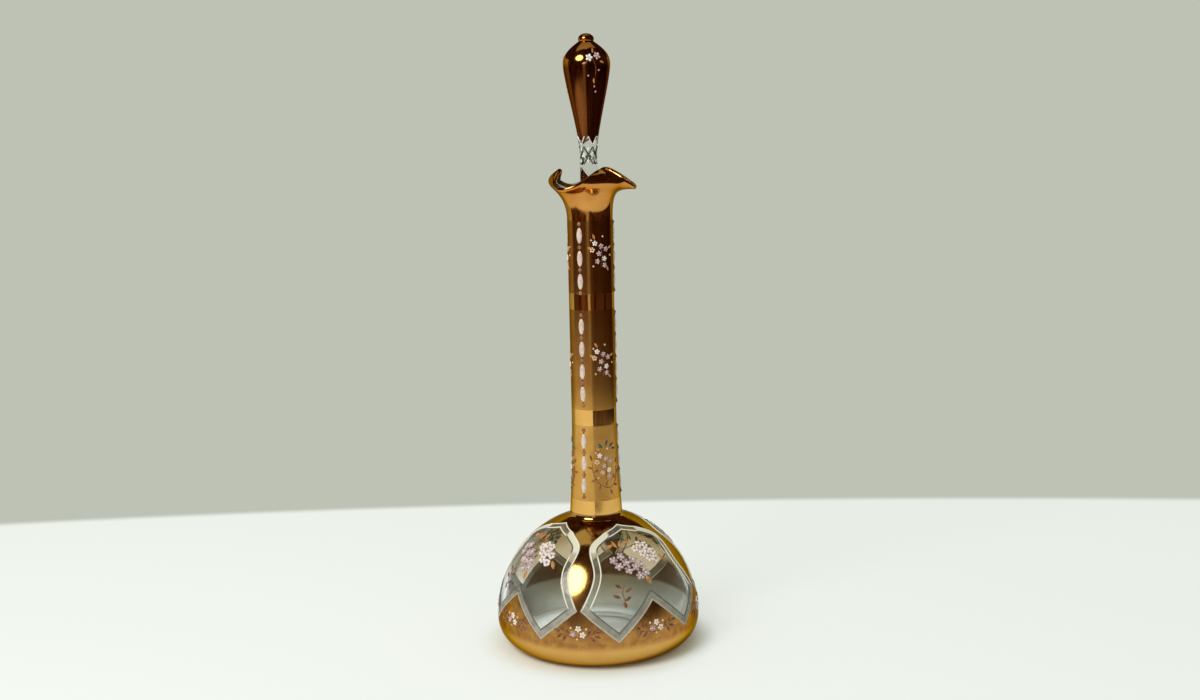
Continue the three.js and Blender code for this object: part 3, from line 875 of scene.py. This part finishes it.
def press_lower_zone(bm):
    rib_tops = straight_line((-RIB_FOOT[0], RIB_FOOT[1]), RIB_FOOT, RIB_COLUMNS)
    tops = [*rib_tops, *zigzag[1:], *across_window(zigzag)[1:-1]]
    round_bowl = [(rib, spot) for rib in range(WINDOWS) for spot in tops]

    def place(column, row):
        rib, top = round_bowl[column % len(round_bowl)]
        elevation = FOOT_EDGE + (top.y - FOOT_EDGE) * row / ZONE_ROWS
        return on_bowl(RIB_ANGLE + rib * 2 * HALF_WINDOW + top.x, elevation, GOLD_LIFT)

    pressed(bm, len(round_bowl), ZONE_ROWS, place)


def press_rib(bm, angle):
    side = [*rib_side, *tongue_edge[1:]]

    def place(column, row):
        across = 2 * column / RIB_COLUMNS - 1
        return on_bowl(angle + across * side[row].x, side[row].y, GOLD_LIFT)

    pressed(bm, RIB_COLUMNS, len(side) - 1, place)


def press_collar(bm):
    columns = RIB_COLUMNS * WINDOWS
    shoulder = NECK_FOOT_RADIUS + NECK_BLEND
    top = math.degrees(math.atan2(dome_height(shoulder) - FOOT_ROUND, shoulder))
    span = top - COLLAR_ELEVATION
    elevations = [COLLAR_ELEVATION + span * i / COLLAR_ROWS for i in range(COLLAR_ROWS + 1)]
    dome = [on_bowl(90, elevation, GOLD_LIFT) for elevation in elevations]
    line = [*[Vector((spot.x, spot.z)) for spot in dome], *neck_blend(GOLD_LIFT, 8)]

    def place(column, row):
        angle = RIB_ANGLE - HALF_WINDOW + 360 * column / columns
        return round_axis(angle, line[row].x, line[row].y)

    pressed(bm, columns, len(line) - 1, place)


bowl_gold = bmesh.new()
press_lower_zone(bowl_gold)
for window in range(WINDOWS):
    press_rib(bowl_gold, RIB_ANGLE + window * 2 * HALF_WINDOW)
press_collar(bowl_gold)
gold_leaf("bowl_gold", bowl_gold, "vessel", "bowl_gilding")

# %% [markdown]
# ## Gold on the neck, the lip and the stopper
# The neck's gold runs from the bowl's collar up to the lip and just over its rim. It is spun as
# the glass was and ruffled by the same rule, so it follows the lobes exactly. The stopper's gold
# ends in a hem of small points.

# %% Turn the neck's gold and press the stopper's
GOLD_JOINT = 0.3 * MM
RIM_TURN = 140
HEM_POINTS = 6
HEM_HEIGHT = 4.6 * MM
HEM_ROWS = 6

neck_gold = bmesh.new()
neck_rise = neck_line(GOLD_LIFT, NECK_FOOT + GOLD_JOINT, 60)
gold_collar = collar_line(GOLD_LIFT, 1, 32)
rim_radius = LIP_WALL / 2 + GOLD_LIFT
gold_rim = arc((LIP_ROOT, LIP_BASE + COLLAR_LENGTH), (rim_radius, rim_radius), 0, RIM_TURN, 8)
turned(neck_gold, [*neck_rise, *gold_collar[1:], *gold_rim[1:]], GLASS_STEPS)
ruffle(neck_gold)
gold_leaf("neck_gold", neck_gold, "vessel", "neck_gilding")


def hem_height(angle):
    """How far over the shank's top the hem lies at an angle: a row of points."""
    phase = angle * HEM_POINTS / 360 % 1
    return HEM_HEIGHT * abs(2 * phase - 1)


drop_outside = drop_line(GOLD_LIFT)


def drop_radius(height):
    """The gilded drop's radius at a height."""
    for low, high in zip(drop_outside, drop_outside[1:]):
        if height <= high.y:
            share = max(0, (height - low.y) / max(high.y - low.y, WELD))
            return low.x + (high.x - low.x) * share
    return drop_outside[-1].x


def press_stopper_gold(bm):
    above = [spot for spot in drop_outside if spot.y > SHANK_TOP + HEM_HEIGHT]

    def place(column, row):
        angle = 360 * column / STOPPER_STEPS
        if row >= HEM_ROWS:
            spot = above[row - HEM_ROWS]
            return round_axis(angle, spot.x, spot.y)
        bottom = SHANK_TOP + hem_height(angle)
        height = bottom + (above[0].y - bottom) * row / HEM_ROWS
        return round_axis(angle, drop_radius(height), height)

    pressed(bm, STOPPER_STEPS, len(above) + HEM_ROWS - 1, place)


stopper_gold = bmesh.new()
press_stopper_gold(stopper_gold)
gold_leaf("stopper_gold", stopper_gold, "stopper", "stopper_gilding")

# %% [markdown]
# ## Window borders
# A frosted strip runs round the inside of each window, between two raised enamel lines. All three
# follow the window's own outline at different distances, so one function insets the outline and
# presses a strip between two distances. A high arch across the strip makes a line, and a low
# one the frosted band.

# %% Press the borders
BORDER_START = 0.3 * MM
BORDER_WIDTH = 4.4 * MM
LINE_WIDTH = 0.75 * MM
LINE_RISE = 0.4 * MM
STRIP_RISE = 0.12 * MM
STRIP_ROWS = 6
EDGE_SHARE = 0.3
SIDE_POINTS = 24
GLASS_LIFT = 0.08 * MM
BORDERS = {
    "strip": (BORDER_START, BORDER_WIDTH, STRIP_RISE, frosted_strip),
    "outer": (BORDER_START, LINE_WIDTH, LINE_RISE, pale_outline),
    "inner": (BORDER_START + BORDER_WIDTH - LINE_WIDTH, LINE_WIDTH, LINE_RISE, dark_outline),
}


def direction(angle, elevation):
    """The unit direction from the dome's centre."""
    tilt = math.radians(elevation)
    return round_axis(angle, math.cos(tilt), math.sin(tilt))


def window_sides(rib):
    """The window's outline as eight sides, from the top down the left and round."""
    half = [tongue_edge[::-1], rib_side[::-1], zigzag_down, zigzag_up]
    sides = [*half, *[across_window(side) for side in reversed(half)]]
    return [[direction(rib + spot.x, spot.y) for spot in side] for side in sides]


def even_spots(line, count):
    """Points at even distances along a line."""
    lengths = [0.0]
    for low, high in zip(line, line[1:]):
        lengths.append(lengths[-1] + (high - low).length)
    spots = []
    piece = 0
    for i in range(count):
        wanted = lengths[-1] * i / count
        while lengths[piece + 1] < wanted:
            piece += 1
        share = (wanted - lengths[piece]) / (lengths[piece + 1] - lengths[piece])
        spots.append(line[piece].lerp(line[piece + 1], share).normalized())
    return spots


def inset(sides, distance):
    """Moves the sides inwards over the dome, cut where neighbours meet, with even points."""
    sweep = distance / BOWL_RADIUS

    def moved(before, corner, after):
        first = before.cross(corner).normalized()
        second = corner.cross(after).normalized()
        return (corner + (first + second) * sweep / (1 + first.dot(second))).normalized()

    ring = []
    for i, side in enumerate(sides):
        start = moved(sides[i - 1][-2], side[0], side[1])
        stop = moved(side[-2], side[-1], sides[(i + 1) % len(sides)][1])
        middle = [moved(*three) for three in zip(side, side[1:], side[2:])]
        leaving = side[1] - side[0]
        arriving = side[-1] - side[-2]
        kept = [
            spot
            for spot in middle
            if (spot - start).dot(leaving) > 0 and (stop - spot).dot(arriving) > 0
        ]
        ring += even_spots([start, *kept, stop], SIDE_POINTS)
    return ring


def on_dome(towards, lift):
    across = math.hypot(towards.x, towards.y) / (BOWL_RADIUS + lift)
    reach = 1 / math.hypot(across, towards.z / (DOME_HEIGHT + lift))
    return towards * reach + Vector((0, 0, FOOT_ROUND))


def press_strip(bm, sides, start, stop, rise):
    """A strip round the window between two distances from its edge, arched by its rise."""
    width = stop - start
    rings = [inset(sides, start + width * i / STRIP_ROWS) for i in range(STRIP_ROWS + 1)]
    columns = len(rings[0])

    def place(column, row):
        arch = math.sqrt(max(0, 1 - (2 * row / STRIP_ROWS - 1) ** 2))
        lift = GLASS_LIFT + rise * (EDGE_SHARE + (1 - EDGE_SHARE) * arch)
        return on_dome(rings[row][column % columns], lift)

    pressed(bm, columns, STRIP_ROWS, place)
    thickened(bm, GLASS_LIFT / 2)


for window in range(WINDOWS):
    sides = window_sides(RIB_ANGLE + window * 2 * HALF_WINDOW)
    for part, (start, width, rise, finish) in BORDERS.items():
        strip = bmesh.new()
        press_strip(strip, sides, start, start + width, rise)
        name = f"border_{part}_{window + 1}"
        stands_for = [f"window_border_{window + 1}"] if part == "strip" else []
        make_piece(name, strip, [finish], "vessel", stands_for)

# %% [markdown]
# ## Motifs drawn flat
# A painter works with a few strokes: a dab, a petal, a leaf and a thin trail. Each is made flat
# first, in millimetres over and beside a chosen spot, and then laid on the curved glass by a
# rule. Dabs and leaves are flattened balls of a few dozen faces, because there are hundreds of
# them.

# %% The painter's strokes
DAB_SIDES = 8
DAB_RINGS = 5
TRAIL_SIDES = 5
TRAIL_STEPS = 5
PETALS = 5
PETAL_TURN = 360 / PETALS
PETAL_REACH = 0.31
PETAL_SHAPE = (0.34, 0.4, 0.16)
HEART_SHAPE = (0.26, 0.26, 0.2)
LEAF_SHAPE = (0.42, 1, 0.1)


def dab(bm, spot, width, length, rise, colour, heading=0.0, pointed=False, fineness=1):
    """A raised dab of enamel, round or pointed at both ends, along a heading in degrees."""
    sides, rings = DAB_SIDES * fineness, DAB_RINGS * fineness
    ball = bmesh.ops.create_uvsphere(bm, u_segments=sides, v_segments=rings, radius=1)
    verts = ball["verts"]
    lying = Matrix.Rotation(math.pi / 2, 3, "X")
    bmesh.ops.rotate(bm, verts=verts, cent=(0, 0, 0), matrix=lying)
    if pointed:
        for vert in verts:
            vert.co.x *= math.sqrt(max(0, 1 - vert.co.y ** 2))
    bmesh.ops.scale(bm, verts=verts, vec=(width / 2, length / 2, rise))
    turn = Matrix.Rotation(math.radians(-heading), 3, "Z")
    bmesh.ops.rotate(bm, verts=verts, cent=(0, 0, 0), matrix=turn)
    bmesh.ops.translate(bm, verts=verts, vec=(spot[0], spot[1], 0))
    paint(verts, colour)


def paint(verts, colour):
    for face in {face for vert in verts for face in vert.link_faces}:
        face.material_index = colour


def shaped(size, shape):
    return [size * share for share in shape]


def blossom(bm, spot, size, petal_colour, heart_colour, turn):
    """Five petals round a heart."""
    for i in range(PETALS):
        heading = turn + PETAL_TURN * i
        out = Vector((math.sin(math.radians(heading)), math.cos(math.radians(heading))))
        petal_spot = Vector(spot) + out * size * PETAL_REACH
        dab(bm, petal_spot, *shaped(size, PETAL_SHAPE), petal_colour, heading)
    dab(bm, spot, *shaped(size, HEART_SHAPE), heart_colour)


def leaf(bm, spot, length, heading, colour):
    dab(bm, spot, *shaped(length, LEAF_SHAPE), colour, heading, pointed=True)


def dots(bm, spots, width, rise, colour):
    for spot in spots:
        dab(bm, spot, width, width, rise, colour)


def blossoms(bm, spots, size, chance):
    """Blossoms, each with its x, y and colour, turned by chance."""
    for x, y, colour in spots:
        heart = BROWN if colour == PEACH else PEACH
        blossom(bm, (x, y), size, colour, heart, chance.uniform(0, PETAL_TURN))


def leaves(bm, spots, length, colour, chance=None, sway=0):
    """Leaves, each with its x, y and heading, which sways if chance is given."""
    for x, y, heading in spots:
        bend = chance.uniform(-sway, sway) if chance else 0
        leaf(bm, (x, y), length, heading + bend, colour)


def trail(bm, spots, width, colour):
    """A thin trailed thread: a small disc pulled from spot to spot, closed at both ends."""
    line = smooth_line(spots, TRAIL_STEPS)
    disc = bmesh.ops.create_circle(bm, cap_ends=True, segments=TRAIL_SIDES, radius=width / 2)
    ring = disc["verts"]
    headings = [math.atan2((b - a).y, (b - a).x) for a, b in zip(line, line[1:])]
    stand_up = Matrix.Rotation(headings[0], 3, "Z") @ Matrix.Rotation(math.pi / 2, 3, "Y")
    bmesh.ops.rotate(bm, verts=ring, cent=(0, 0, 0), matrix=stand_up)
    bmesh.ops.translate(bm, verts=ring, vec=(line[0].x, line[0].y, 0))
    made = list(ring)
    end = list(ring[0].link_faces)
    for i, (start, stop) in enumerate(zip(line, line[1:])):
        drawn = bmesh.ops.extrude_face_region(bm, geom=end)["geom"]
        end = [item for item in drawn if isinstance(item, bmesh.types.BMFace)]
        ring = [item for item in drawn if isinstance(item, bmesh.types.BMVert)]
        bend = headings[min(i + 1, len(headings) - 1)] - headings[i]
        turn = Matrix.Rotation(bend, 3, "Z")
        bmesh.ops.rotate(bm, verts=ring, cent=(start.x, start.y, 0), matrix=turn)
        bmesh.ops.translate(bm, verts=ring, vec=(stop.x - start.x, stop.y - start.y, 0))
        made += ring
    paint(made, colour)


def lay(name, bm, place, body, stands_for=()):
    """Lays a flat drawing in millimetres on its surface, pressed flat below, as one piece."""
    for vert in bm.verts:
        vert.co = place(vert.co.x * MM, vert.co.y * MM, max(vert.co.z, 0) * MM)
    make_piece(name, bm, enamels, body, stands_for)


print("strokes: dab, blossom, leaf and trail; a blossom has", PETALS, "petals")

# %% [markdown]
# ## Enamel chains
# Three columns of raised ovals and beads run up the neck on a thin stem, and stop at the
# burnished bands. They could be bent round the neck with a modifier. Here a chain is drawn flat
# as a row of dabs, and the same rule that lays every motif wraps it on the gold.

# %% String the chains
CHAINS = 3
CHAIN_ANGLE = -28
CHAIN_PITCH = 13.3
OVAL = (3.4, 9.4, 0.9)
BEAD = (2.4, 2.4, 0.8)
STEM = 0.8
SECTIONS = {
    "lower": (LOWER_BASE, LOWER_SECTION),
    "middle": (MIDDLE_BASE, MIDDLE_SECTION),
    "upper": (UPPER_BASE, UPPER_SECTION),
}


def neck_patch(angle, middle):
    """The rule that lays flat metres on the neck's gold round a spot."""

    def place(x, y, lift):
        radius = neck_radius(middle + y) + GOLD_LIFT
        return round_axis(angle + math.degrees(x / radius), radius + lift, middle + y)

    return place


def draw_chain(bm, length):
    links = int(length / CHAIN_PITCH)
    reach = links * CHAIN_PITCH / 2
    trail(bm, [(0, -reach), (0, reach)], STEM, BROWN)
    for i in range(links + 1):
        height = i * CHAIN_PITCH - reach
        dab(bm, (0, height), *BEAD, TAN, fineness=2)
        if i < links:
            dab(bm, (0, height + CHAIN_PITCH / 2), *OVAL, CHAIN, fineness=2)


for chain in range(CHAINS):
    for section, (base, length) in SECTIONS.items():
        strokes = bmesh.new()
        draw_chain(strokes, length / MM)
        place = neck_patch(CHAIN_ANGLE + 360 / CHAINS * chain, base + length / 2)
        name = f"chain_{chain + 1}_{section}"
        lay(name, strokes, place, "vessel", [f"enamel_{name}"])

# %% [markdown]
# ## Sprays on the windows
# Each window carries a spray of blossoms on a bent stem, painted freehand, so no two are quite
# alike. One drawing is repeated with its sides swapped and with small seeded shifts. A stroke is
# laid over the clear glass, and its shadow falls through on to the gold behind.

# %% Paint the windows
SPRAY_ELEVATION = 48
SPRAY_SIDES = [1, -1, -1, 1]
SPRAY_SHIFT = 0.5
LILAC_SPOTS = [(-15, -1), (-11, 1), (-13, -5), (-8, -3), (-4, -2)]
LILAC_SPOTS += [(-8, -8), (-4, -7), (0, -6), (-3, -12), (1, -11)]
WHITE_SPOTS = [(1, 4), (5, 6), (9, 5), (4, 0), (8, 1), (12, 0), (7, -4), (11, -5)]
AMBER_LEAVES = [(-12, 9, -30), (-16, 8, -110), (-2, 10, -20)]
AMBER_LEAVES += [(16, -5, 150), (1, -16, 170), (-8, 9, 30)]
GREEN_LEAVES = [(2, 12, 20), (-5, 12, -25), (7, 10, 50)]
BROWN_LEAVES = [(-15, -17, -50), (-11, -19, 60), (-16, -22, -60)]
BROWN_LEAVES += [(-11, -24, 55), (-13, -27, 170)]
SPRAY_LEAVES = [(AMBER_LEAVES, 5.8, AMBER), (GREEN_LEAVES, 5.2, GREEN), (BROWN_LEAVES, 4.2, BROWN)]


def bowl_patch(angle, elevation, seat):
    """The rule that lays flat metres on the bowl round a spot."""
    middle = on_bowl(angle, elevation, 0)
    round_bowl = math.hypot(middle.x, middle.y)

    def place(x, y, lift):
        across = angle + math.degrees(x / round_bowl)
        return on_bowl(across, elevation + math.degrees(y / BOWL_RADIUS), seat + lift)

    return place


def draw_spray(bm, side, chance):
    """A bent stem with lilac blossoms under it and white ones over it; side is 1 or -1."""

    def shift():
        return chance.uniform(-SPRAY_SHIFT, SPRAY_SHIFT)

    def at(x, y):
        return side * x + shift(), y + shift()

    trail(bm, [at(-15, 10), at(-7, 6), at(2, 7), at(11, 5), at(15, -2)], 0.55, BROWN)
    trail(bm, [at(-7, 6), at(-9, 0), at(-5, -6), at(-2, -11)], 0.5, BROWN)
    trail(bm, [at(-12, -16), at(-14, -20), at(-13, -25)], 0.45, BROWN)
    for x, y in LILAC_SPOTS:
        blossom(bm, at(x, y), 5.0, LILAC, WHITE, chance.uniform(0, PETAL_TURN))
    for x, y in WHITE_SPOTS:
        spot = at(x, y)
        dab(bm, spot, 4.6, 4.6, 0.2, LILAC)
        blossom(bm, spot, 4.8, WHITE, AMBER, chance.uniform(0, PETAL_TURN))
    for spots, length, colour in SPRAY_LEAVES:
        for x, y, heading in spots:
            leaf(bm, at(x, y), length, side * heading, colour)


painter = random.Random(7)
for window in range(WINDOWS):
    strokes = bmesh.new()
    draw_spray(strokes, SPRAY_SIDES[window], painter)
    middle = RIB_ANGLE + HALF_WINDOW * (2 * window + 1)
    place = bowl_patch(middle, SPRAY_ELEVATION, GLASS_LIFT / 2)
    lay(f"window_spray_{window + 1}", strokes, place, "vessel")

# %% [markdown]
# ## Blossoms on the gold
# Smaller posies fill the points of the zigzag, the panels of the neck and the stopper's drop. All
# use the same strokes; only the spots differ. The stopper's hem gets a white trail along its
# points, and the olives of its shank a net of dark threads with white dabs in the meshes.

# %% Paint the bowl's gold
POSY_ELEVATION = 8
POSY_SWAY = 14
POSY_BLOSSOMS = [(0, 2.4, WHITE), (-3, -0.6, LILAC), (2.6, -1, WHITE)]
POSY_LEAVES = [(6.5, 0.8, 40), (8, -3.2, 140), (9.6, 2, 30), (11, -2, 120), (12.6, 1, 75)]


def draw_posy(bm, chance):
    """Small blossoms between two sprigs of brown leaves."""
    blossoms(bm, POSY_BLOSSOMS, 3.8, chance)
    dots(bm, [(-0.6, -3.4), (4.6, 2.4), (-4.4, 2.8)], 1.3, 0.5, PEACH)
    trail(bm, [(-11, -1), (-5, -2), (0, -3), (5, -1.5), (11, 0.5)], 0.45, BROWN)
    for side in (-1, 1):
        sprig = [(side * x, y, side * heading) for x, y, heading in POSY_LEAVES]
        leaves(bm, sprig, 4.4, BROWN, chance, POSY_SWAY)


for spot in range(2 * WINDOWS):
    strokes = bmesh.new()
    draw_posy(strokes, painter)
    place = bowl_patch(RIB_ANGLE + HALF_WINDOW * spot, POSY_ELEVATION, GOLD_LIFT)
    lay(f"bowl_posy_{spot + 1}", strokes, place, "vessel")

# %% Paint the neck's panels
PANEL_ANGLE = 26
PANEL_SWAY = 15
PANELS = {"lower": (110 * MM, True), "middle": (172 * MM, False), "upper": (235 * MM, False)}
PANEL_BLOSSOMS = [
    (-3.4, 6.2, WHITE),
    (-5.0, 2.4, PEACH),
    (0.4, 4.4, LILAC),
    (3.6, 2.6, LILAC),
    (-1.0, 0.2, LILAC),
    (2.4, -2.8, WHITE),
    (-2.0, -4.2, LILAC),
    (2.6, -6.6, LILAC),
]
PANEL_LEAVES = [(-6.2, 3.5, -75), (6.6, 3.6, 70), (4.6, -8.5, 140), (-4, 10, -30)]
TUFT_LEAVES = [(-3, 12, -40), (1, 13.5, 10), (4.5, 12, 55), (6.5, 9.5, 100)]
GARLAND = [(-8, 2), (-7, -6), (-2, -12), (4, -13), (8, -8), (8, -1)]
GARLAND_LEAVES = [(-9.2, -1, -60), (-6, -3, 60), (-7.4, -8.5, -120), (-4, -13, 200)]
GARLAND_LEAVES += [(0.5, -10.5, 30), (3.5, -16, 160), (7.5, -12.5, 120), (6, -7, -40)]
GARLAND_LEAVES += [(10, -4.5, 70), (8.8, 2, 20), (-8.6, 5, -20)]


def draw_panel(bm, chance, leafy):
    """A cluster of blossoms and, in the lower panels, a tuft of green and a garland of brown."""
    blossoms(bm, PANEL_BLOSSOMS, 3.2, chance)
    dots(bm, [(-5.5, 8), (7, -1), (-4.5, -7), (1.5, 10)], 1.1, 0.4, PEACH)
    leaves(bm, PANEL_LEAVES, 3.4, AMBER, chance, PANEL_SWAY)
    trail(bm, [(-6, 9), (-1, 5), (1, 0), (0, -8)], 0.4, BROWN)
    if leafy:
        leaves(bm, TUFT_LEAVES, 4.4, GREEN)
        trail(bm, GARLAND, 0.5, BROWN)
        leaves(bm, GARLAND_LEAVES, 3.6, BROWN, chance, PANEL_SWAY)


for chain in range(CHAINS):
    for section, (middle, leafy) in PANELS.items():
        strokes = bmesh.new()
        draw_panel(strokes, painter, leafy)
        place = neck_patch(PANEL_ANGLE + 360 / CHAINS * chain, middle)
        lay(f"neck_panel_{chain + 1}_{section}", strokes, place, "vessel")

# %% Paint the stopper
STOPPER_POSIES = 3
STOPPER_ANGLE = 17
DROP_LEAVES = [(0.5, 7, 20), (-5, 0, -110), (5.5, 0.5, 110), (0.5, -10, 170)]
NET_HALF = 5
NET_STEPS = 4
MESH_HALF = 3.4


def stopper_patch(angle, middle):
    """The rule that lays flat metres on the drop's gold round a spot."""

    def place(x, y, lift):
        turn = math.degrees(x / drop_radius(middle))
        return round_axis(angle + turn, drop_radius(middle + y) + lift, middle + y)

    return place


for posy in range(STOPPER_POSIES):
    strokes = bmesh.new()
    blossoms(strokes, [(-2.4, 3, WHITE), (2.6, 4, LILAC)], 4.4, painter)
    dots(strokes, [(3.5, -4), (-3, -7), (1, -13), (2, -16)], 1.2, 0.4, LILAC)
    leaves(strokes, DROP_LEAVES, 3.2, AMBER)
    trail(strokes, [(0, 2), (1.5, -4), (0.5, -12)], 0.35, BROWN)
    place = stopper_patch(STOPPER_ANGLE + 360 / STOPPER_POSIES * posy, DROP_WIDEST)
    lay(f"stopper_posy_{posy + 1}", strokes, place, "stopper")

hem = bmesh.new()
hem_round = math.tau * SHANK_RADIUS / MM
hem_ends = range(2 * HEM_POINTS + 1)
hem_heights = [HEM_HEIGHT / MM * (i % 2 == 0) for i in hem_ends]
hem_spots = [(hem_round * i / (2 * HEM_POINTS), hem_heights[i]) for i in hem_ends]
trail(hem, hem_spots, 0.6, WHITE)
lay("stopper_hem", hem, stopper_patch(0, SHANK_TOP), "stopper")


def shank_patch(middle):
    """The rule that lays flat metres on the ground shank, round from the front."""

    def place(x, y, lift):
        angle = math.degrees(x / SHANK_RADIUS)
        radius = ground_radius(angle, middle + y, SHANK_RADIUS)
        return round_axis(angle, radius + lift, middle + y)

    return place


net = bmesh.new()
mesh_width = hem_round / OLIVES
for i in range(OLIVES):
    left = (i - 0.5) * mesh_width
    for low, high in [(-NET_HALF, NET_HALF), (NET_HALF, -NET_HALF)]:
        shares = [j / NET_STEPS for j in range(NET_STEPS + 1)]
        thread = [(left + mesh_width * share, low + (high - low) * share) for share in shares]
        trail(net, thread, 0.8, GREEN)
    dab(net, (left, 0), 2.0, 3.6, 0.25, WHITE, pointed=True)
    for height in (MESH_HALF, -MESH_HALF):
        dab(net, (left + mesh_width / 2, height), 1.8, 2.6, 0.25, WHITE, pointed=True)
lay("shank_net", net, shank_patch(sum(OLIVE_ROWS) / 2), "stopper")

# %% [markdown]
# ## The studio
# The carafe stands on white cloth before a plain grey-green wall. Gold shows its surroundings more
# than itself: it is dark where the room is dark. A tent of four dark red-brown cards gives the
# neck its deep reds, and the slit beside the camera its bright streak. The left card starts
# farther out, so that side of the neck also mirrors the cloth. Only reflections see the cards. A
# soft box above on the left gives highlights. Where the camera sees it, part of the cloth is plain
# white, so it stays pale, and the shadow is kept round the foot. Under the bowl the cloth gets a
# painted glow, brighter towards the left, that stands in for light falling through the windows.

# %% The cloth finish
WALL_COLOUR = (0.51, 0.54, 0.46)
CLOTH_COLOUR = (0.93, 0.96, 0.93)
CLOTH_MIDDLE = (0, 0.2, 0)
CLOTH_STRETCH = (0.35, 1, 1)
CLOTH_EDGE = (0.495, 0.512)
PLAIN_CLOTH = 0.6
SEEN_BY = ["Camera", "Glossy", "Transmission"]
SHADOW_END = (0.056, 0.075)
PAINTED_GLOW_RADII = (0.036, 0.048)
PAINTED_GLOW_LEVEL = 0.3
PAINTED_GLOW_SLOPE = 6


def distance_from(wire, spot):
    return wire.add("VectorMath", {"operation": "LENGTH"}, {0: spot}, output="Value")


def make_cloth():
    material, shader, wire = new_finish("studio_cloth", Roughness=0.9, Specular_IOR_Level=0.1)
    place = place_on_piece(wire)
    stretch = {"Vector": place, "Location": CLOTH_MIDDLE, "Scale": CLOTH_STRETCH}
    far = eased(wire, distance_from(wire, wire.add("Mapping", {}, stretch)), *CLOTH_EDGE)
    from_axis = distance_from(wire, place)
    # painted light: a glow on the cloth under the bowl, brighter towards -X, for light falling in
    # through the windows
    glow = PAINTED_GLOW_LEVEL - PAINTED_GLOW_SLOPE * along_axis(wire, "X")
    painted_light_under_bowl = glow * (1 - eased(wire, from_axis, *PAINTED_GLOW_RADII))
    past_shadow_or_painted_glow = eased(wire, from_axis, *SHADOW_END) + painted_light_under_bowl
    colour = mixed(wire, far, CLOTH_COLOUR, WALL_COLOUR)
    feed(
        shader,
        Base_Color=colour,
        Normal=bumped(wire, clouds(wire, 120 * MM, 2.0), 2 * MM, 0.3),
    )
    seen = sum(wire.add("LightPath", {}, {}, output=f"Is {kind} Ray") for kind in SEEN_BY)
    plain = wire.add("Emission", {}, {"Color": colour, "Strength": 1.0})
    share = seen * past_shadow_or_painted_glow * (PLAIN_CLOTH + (1 - PLAIN_CLOTH) * far)
    share_surface(material, share, shader, plain)
    return material


studio_cloth = make_cloth()
print("finish:", studio_cloth.name)

# %% Floor and tent
TENT_ROWS = 16
CARD_COLUMNS = 24
CARDS = {
    "left_card": ((-100, -18), (1, TENT_ROWS)),
    "right_card": ((-6, 128), (0, TENT_ROWS)),
    "top_card": ((-18, -6), (5, TENT_ROWS)),
    "back_card": ((128, 260), (7, 13)),
}
HIDDEN_FROM = ["camera", "diffuse", "transmission", "shadow"]
CARD_BROWNS = [(0.02, 0.004, 0.001), (0.15, 0.04, 0.007)]
tent_line = pulled_line([(0.63, 0.002), (2.4, 0.002), (2.2, 2.2), (0.05, 2.2)], TENT_ROWS)


def stage_piece(name, bm, material):
    piece = mesh_object(name, bm, [material])
    return piece


def dark_card(name, angles, rows, material):
    """A curved card between two angles and two rows of the tent, which only reflections see."""
    bm = bmesh.new()
    start, stop = angles
    bottom, top = rows

    def place(column, row):
        spot = tent_line[bottom + row]
        return round_axis(start + (stop - start) * column / CARD_COLUMNS, spot.x, spot.y)

    pressed(bm, CARD_COLUMNS, top - bottom, place)
    card = stage_piece(name, bm, material)
    for ray in HIDDEN_FROM:
        setattr(card, f"visible_{ray}", False)


floor = bmesh.new()
bmesh.ops.create_circle(floor, cap_ends=True, segments=64, radius=6)
stage_piece("floor", floor, studio_cloth)
card_material, card_shader, card_wire = new_finish("dark_card", Roughness=0.9)
uneven = eased(card_wire, clouds(card_wire, 0.3), 0.35, 0.65)
feed(card_shader, Base_Color=mixed(card_wire, uneven, *CARD_BROWNS))
for name, (angles, rows) in CARDS.items():
    dark_card(name, angles, rows, card_material)
print("a tent of", len(CARDS), "cards")

# %% Wall and lamp
LAMP_TURN = -39
LAMP_TILT = math.radians(40)
LAMP_DISTANCE = 1.3
AIM_HEIGHT = 0.15

world = bpy.data.worlds.new("studio")
world.use_nodes = True
world.node_tree.nodes["Background"].inputs["Color"].default_value = (*WALL_COLOUR, 1)
bpy.context.scene.world = world

soft_box = bpy.data.lights.new("soft_box", "AREA")
soft_box.shape = "ELLIPSE"
soft_box.size = 0.7
soft_box.size_y = 0.74
soft_box.energy = 10
lamp = bpy.data.objects.new("soft_box", soft_box)
lamp_height = AIM_HEIGHT + LAMP_DISTANCE * math.sin(LAMP_TILT)
lamp.location = round_axis(LAMP_TURN, LAMP_DISTANCE * math.cos(LAMP_TILT), lamp_height)
towards_aim = Vector((0, 0, AIM_HEIGHT)) - lamp.location
lamp.rotation_euler = towards_aim.to_track_quat("-Z", "Y").to_euler()
bpy.context.scene.collection.objects.link(lamp)
print("one soft box,", LAMP_DISTANCE, "m from the neck")

# %% [markdown]
# ## The camera
# The photograph was taken from the height of the stopper with a slight downward tilt, and the
# carafe leans a little in it. The distance, lens and roll were fitted to the outline, so the
# render can be laid over the photograph.

# %% Camera
CAMERA_PLACE = (0.0043, -0.850, 0.320)
CAMERA_TILT = 9.55
CAMERA_ROLL = -1.2
camera_data = bpy.data.cameras.new("camera")
camera_data.lens = 43.86
camera_data.sensor_width = 36
camera = bpy.data.objects.new("camera", camera_data)
tilt = Matrix.Rotation(math.radians(90 - CAMERA_TILT), 4, "X")
roll = Matrix.Rotation(math.radians(CAMERA_ROLL), 4, "Z")
camera.matrix_world = Matrix.Translation(CAMERA_PLACE) @ tilt @ roll
bpy.context.scene.collection.objects.link(camera)
bpy.context.scene.camera = camera
bpy.context.scene.view_settings.view_transform = "Standard"
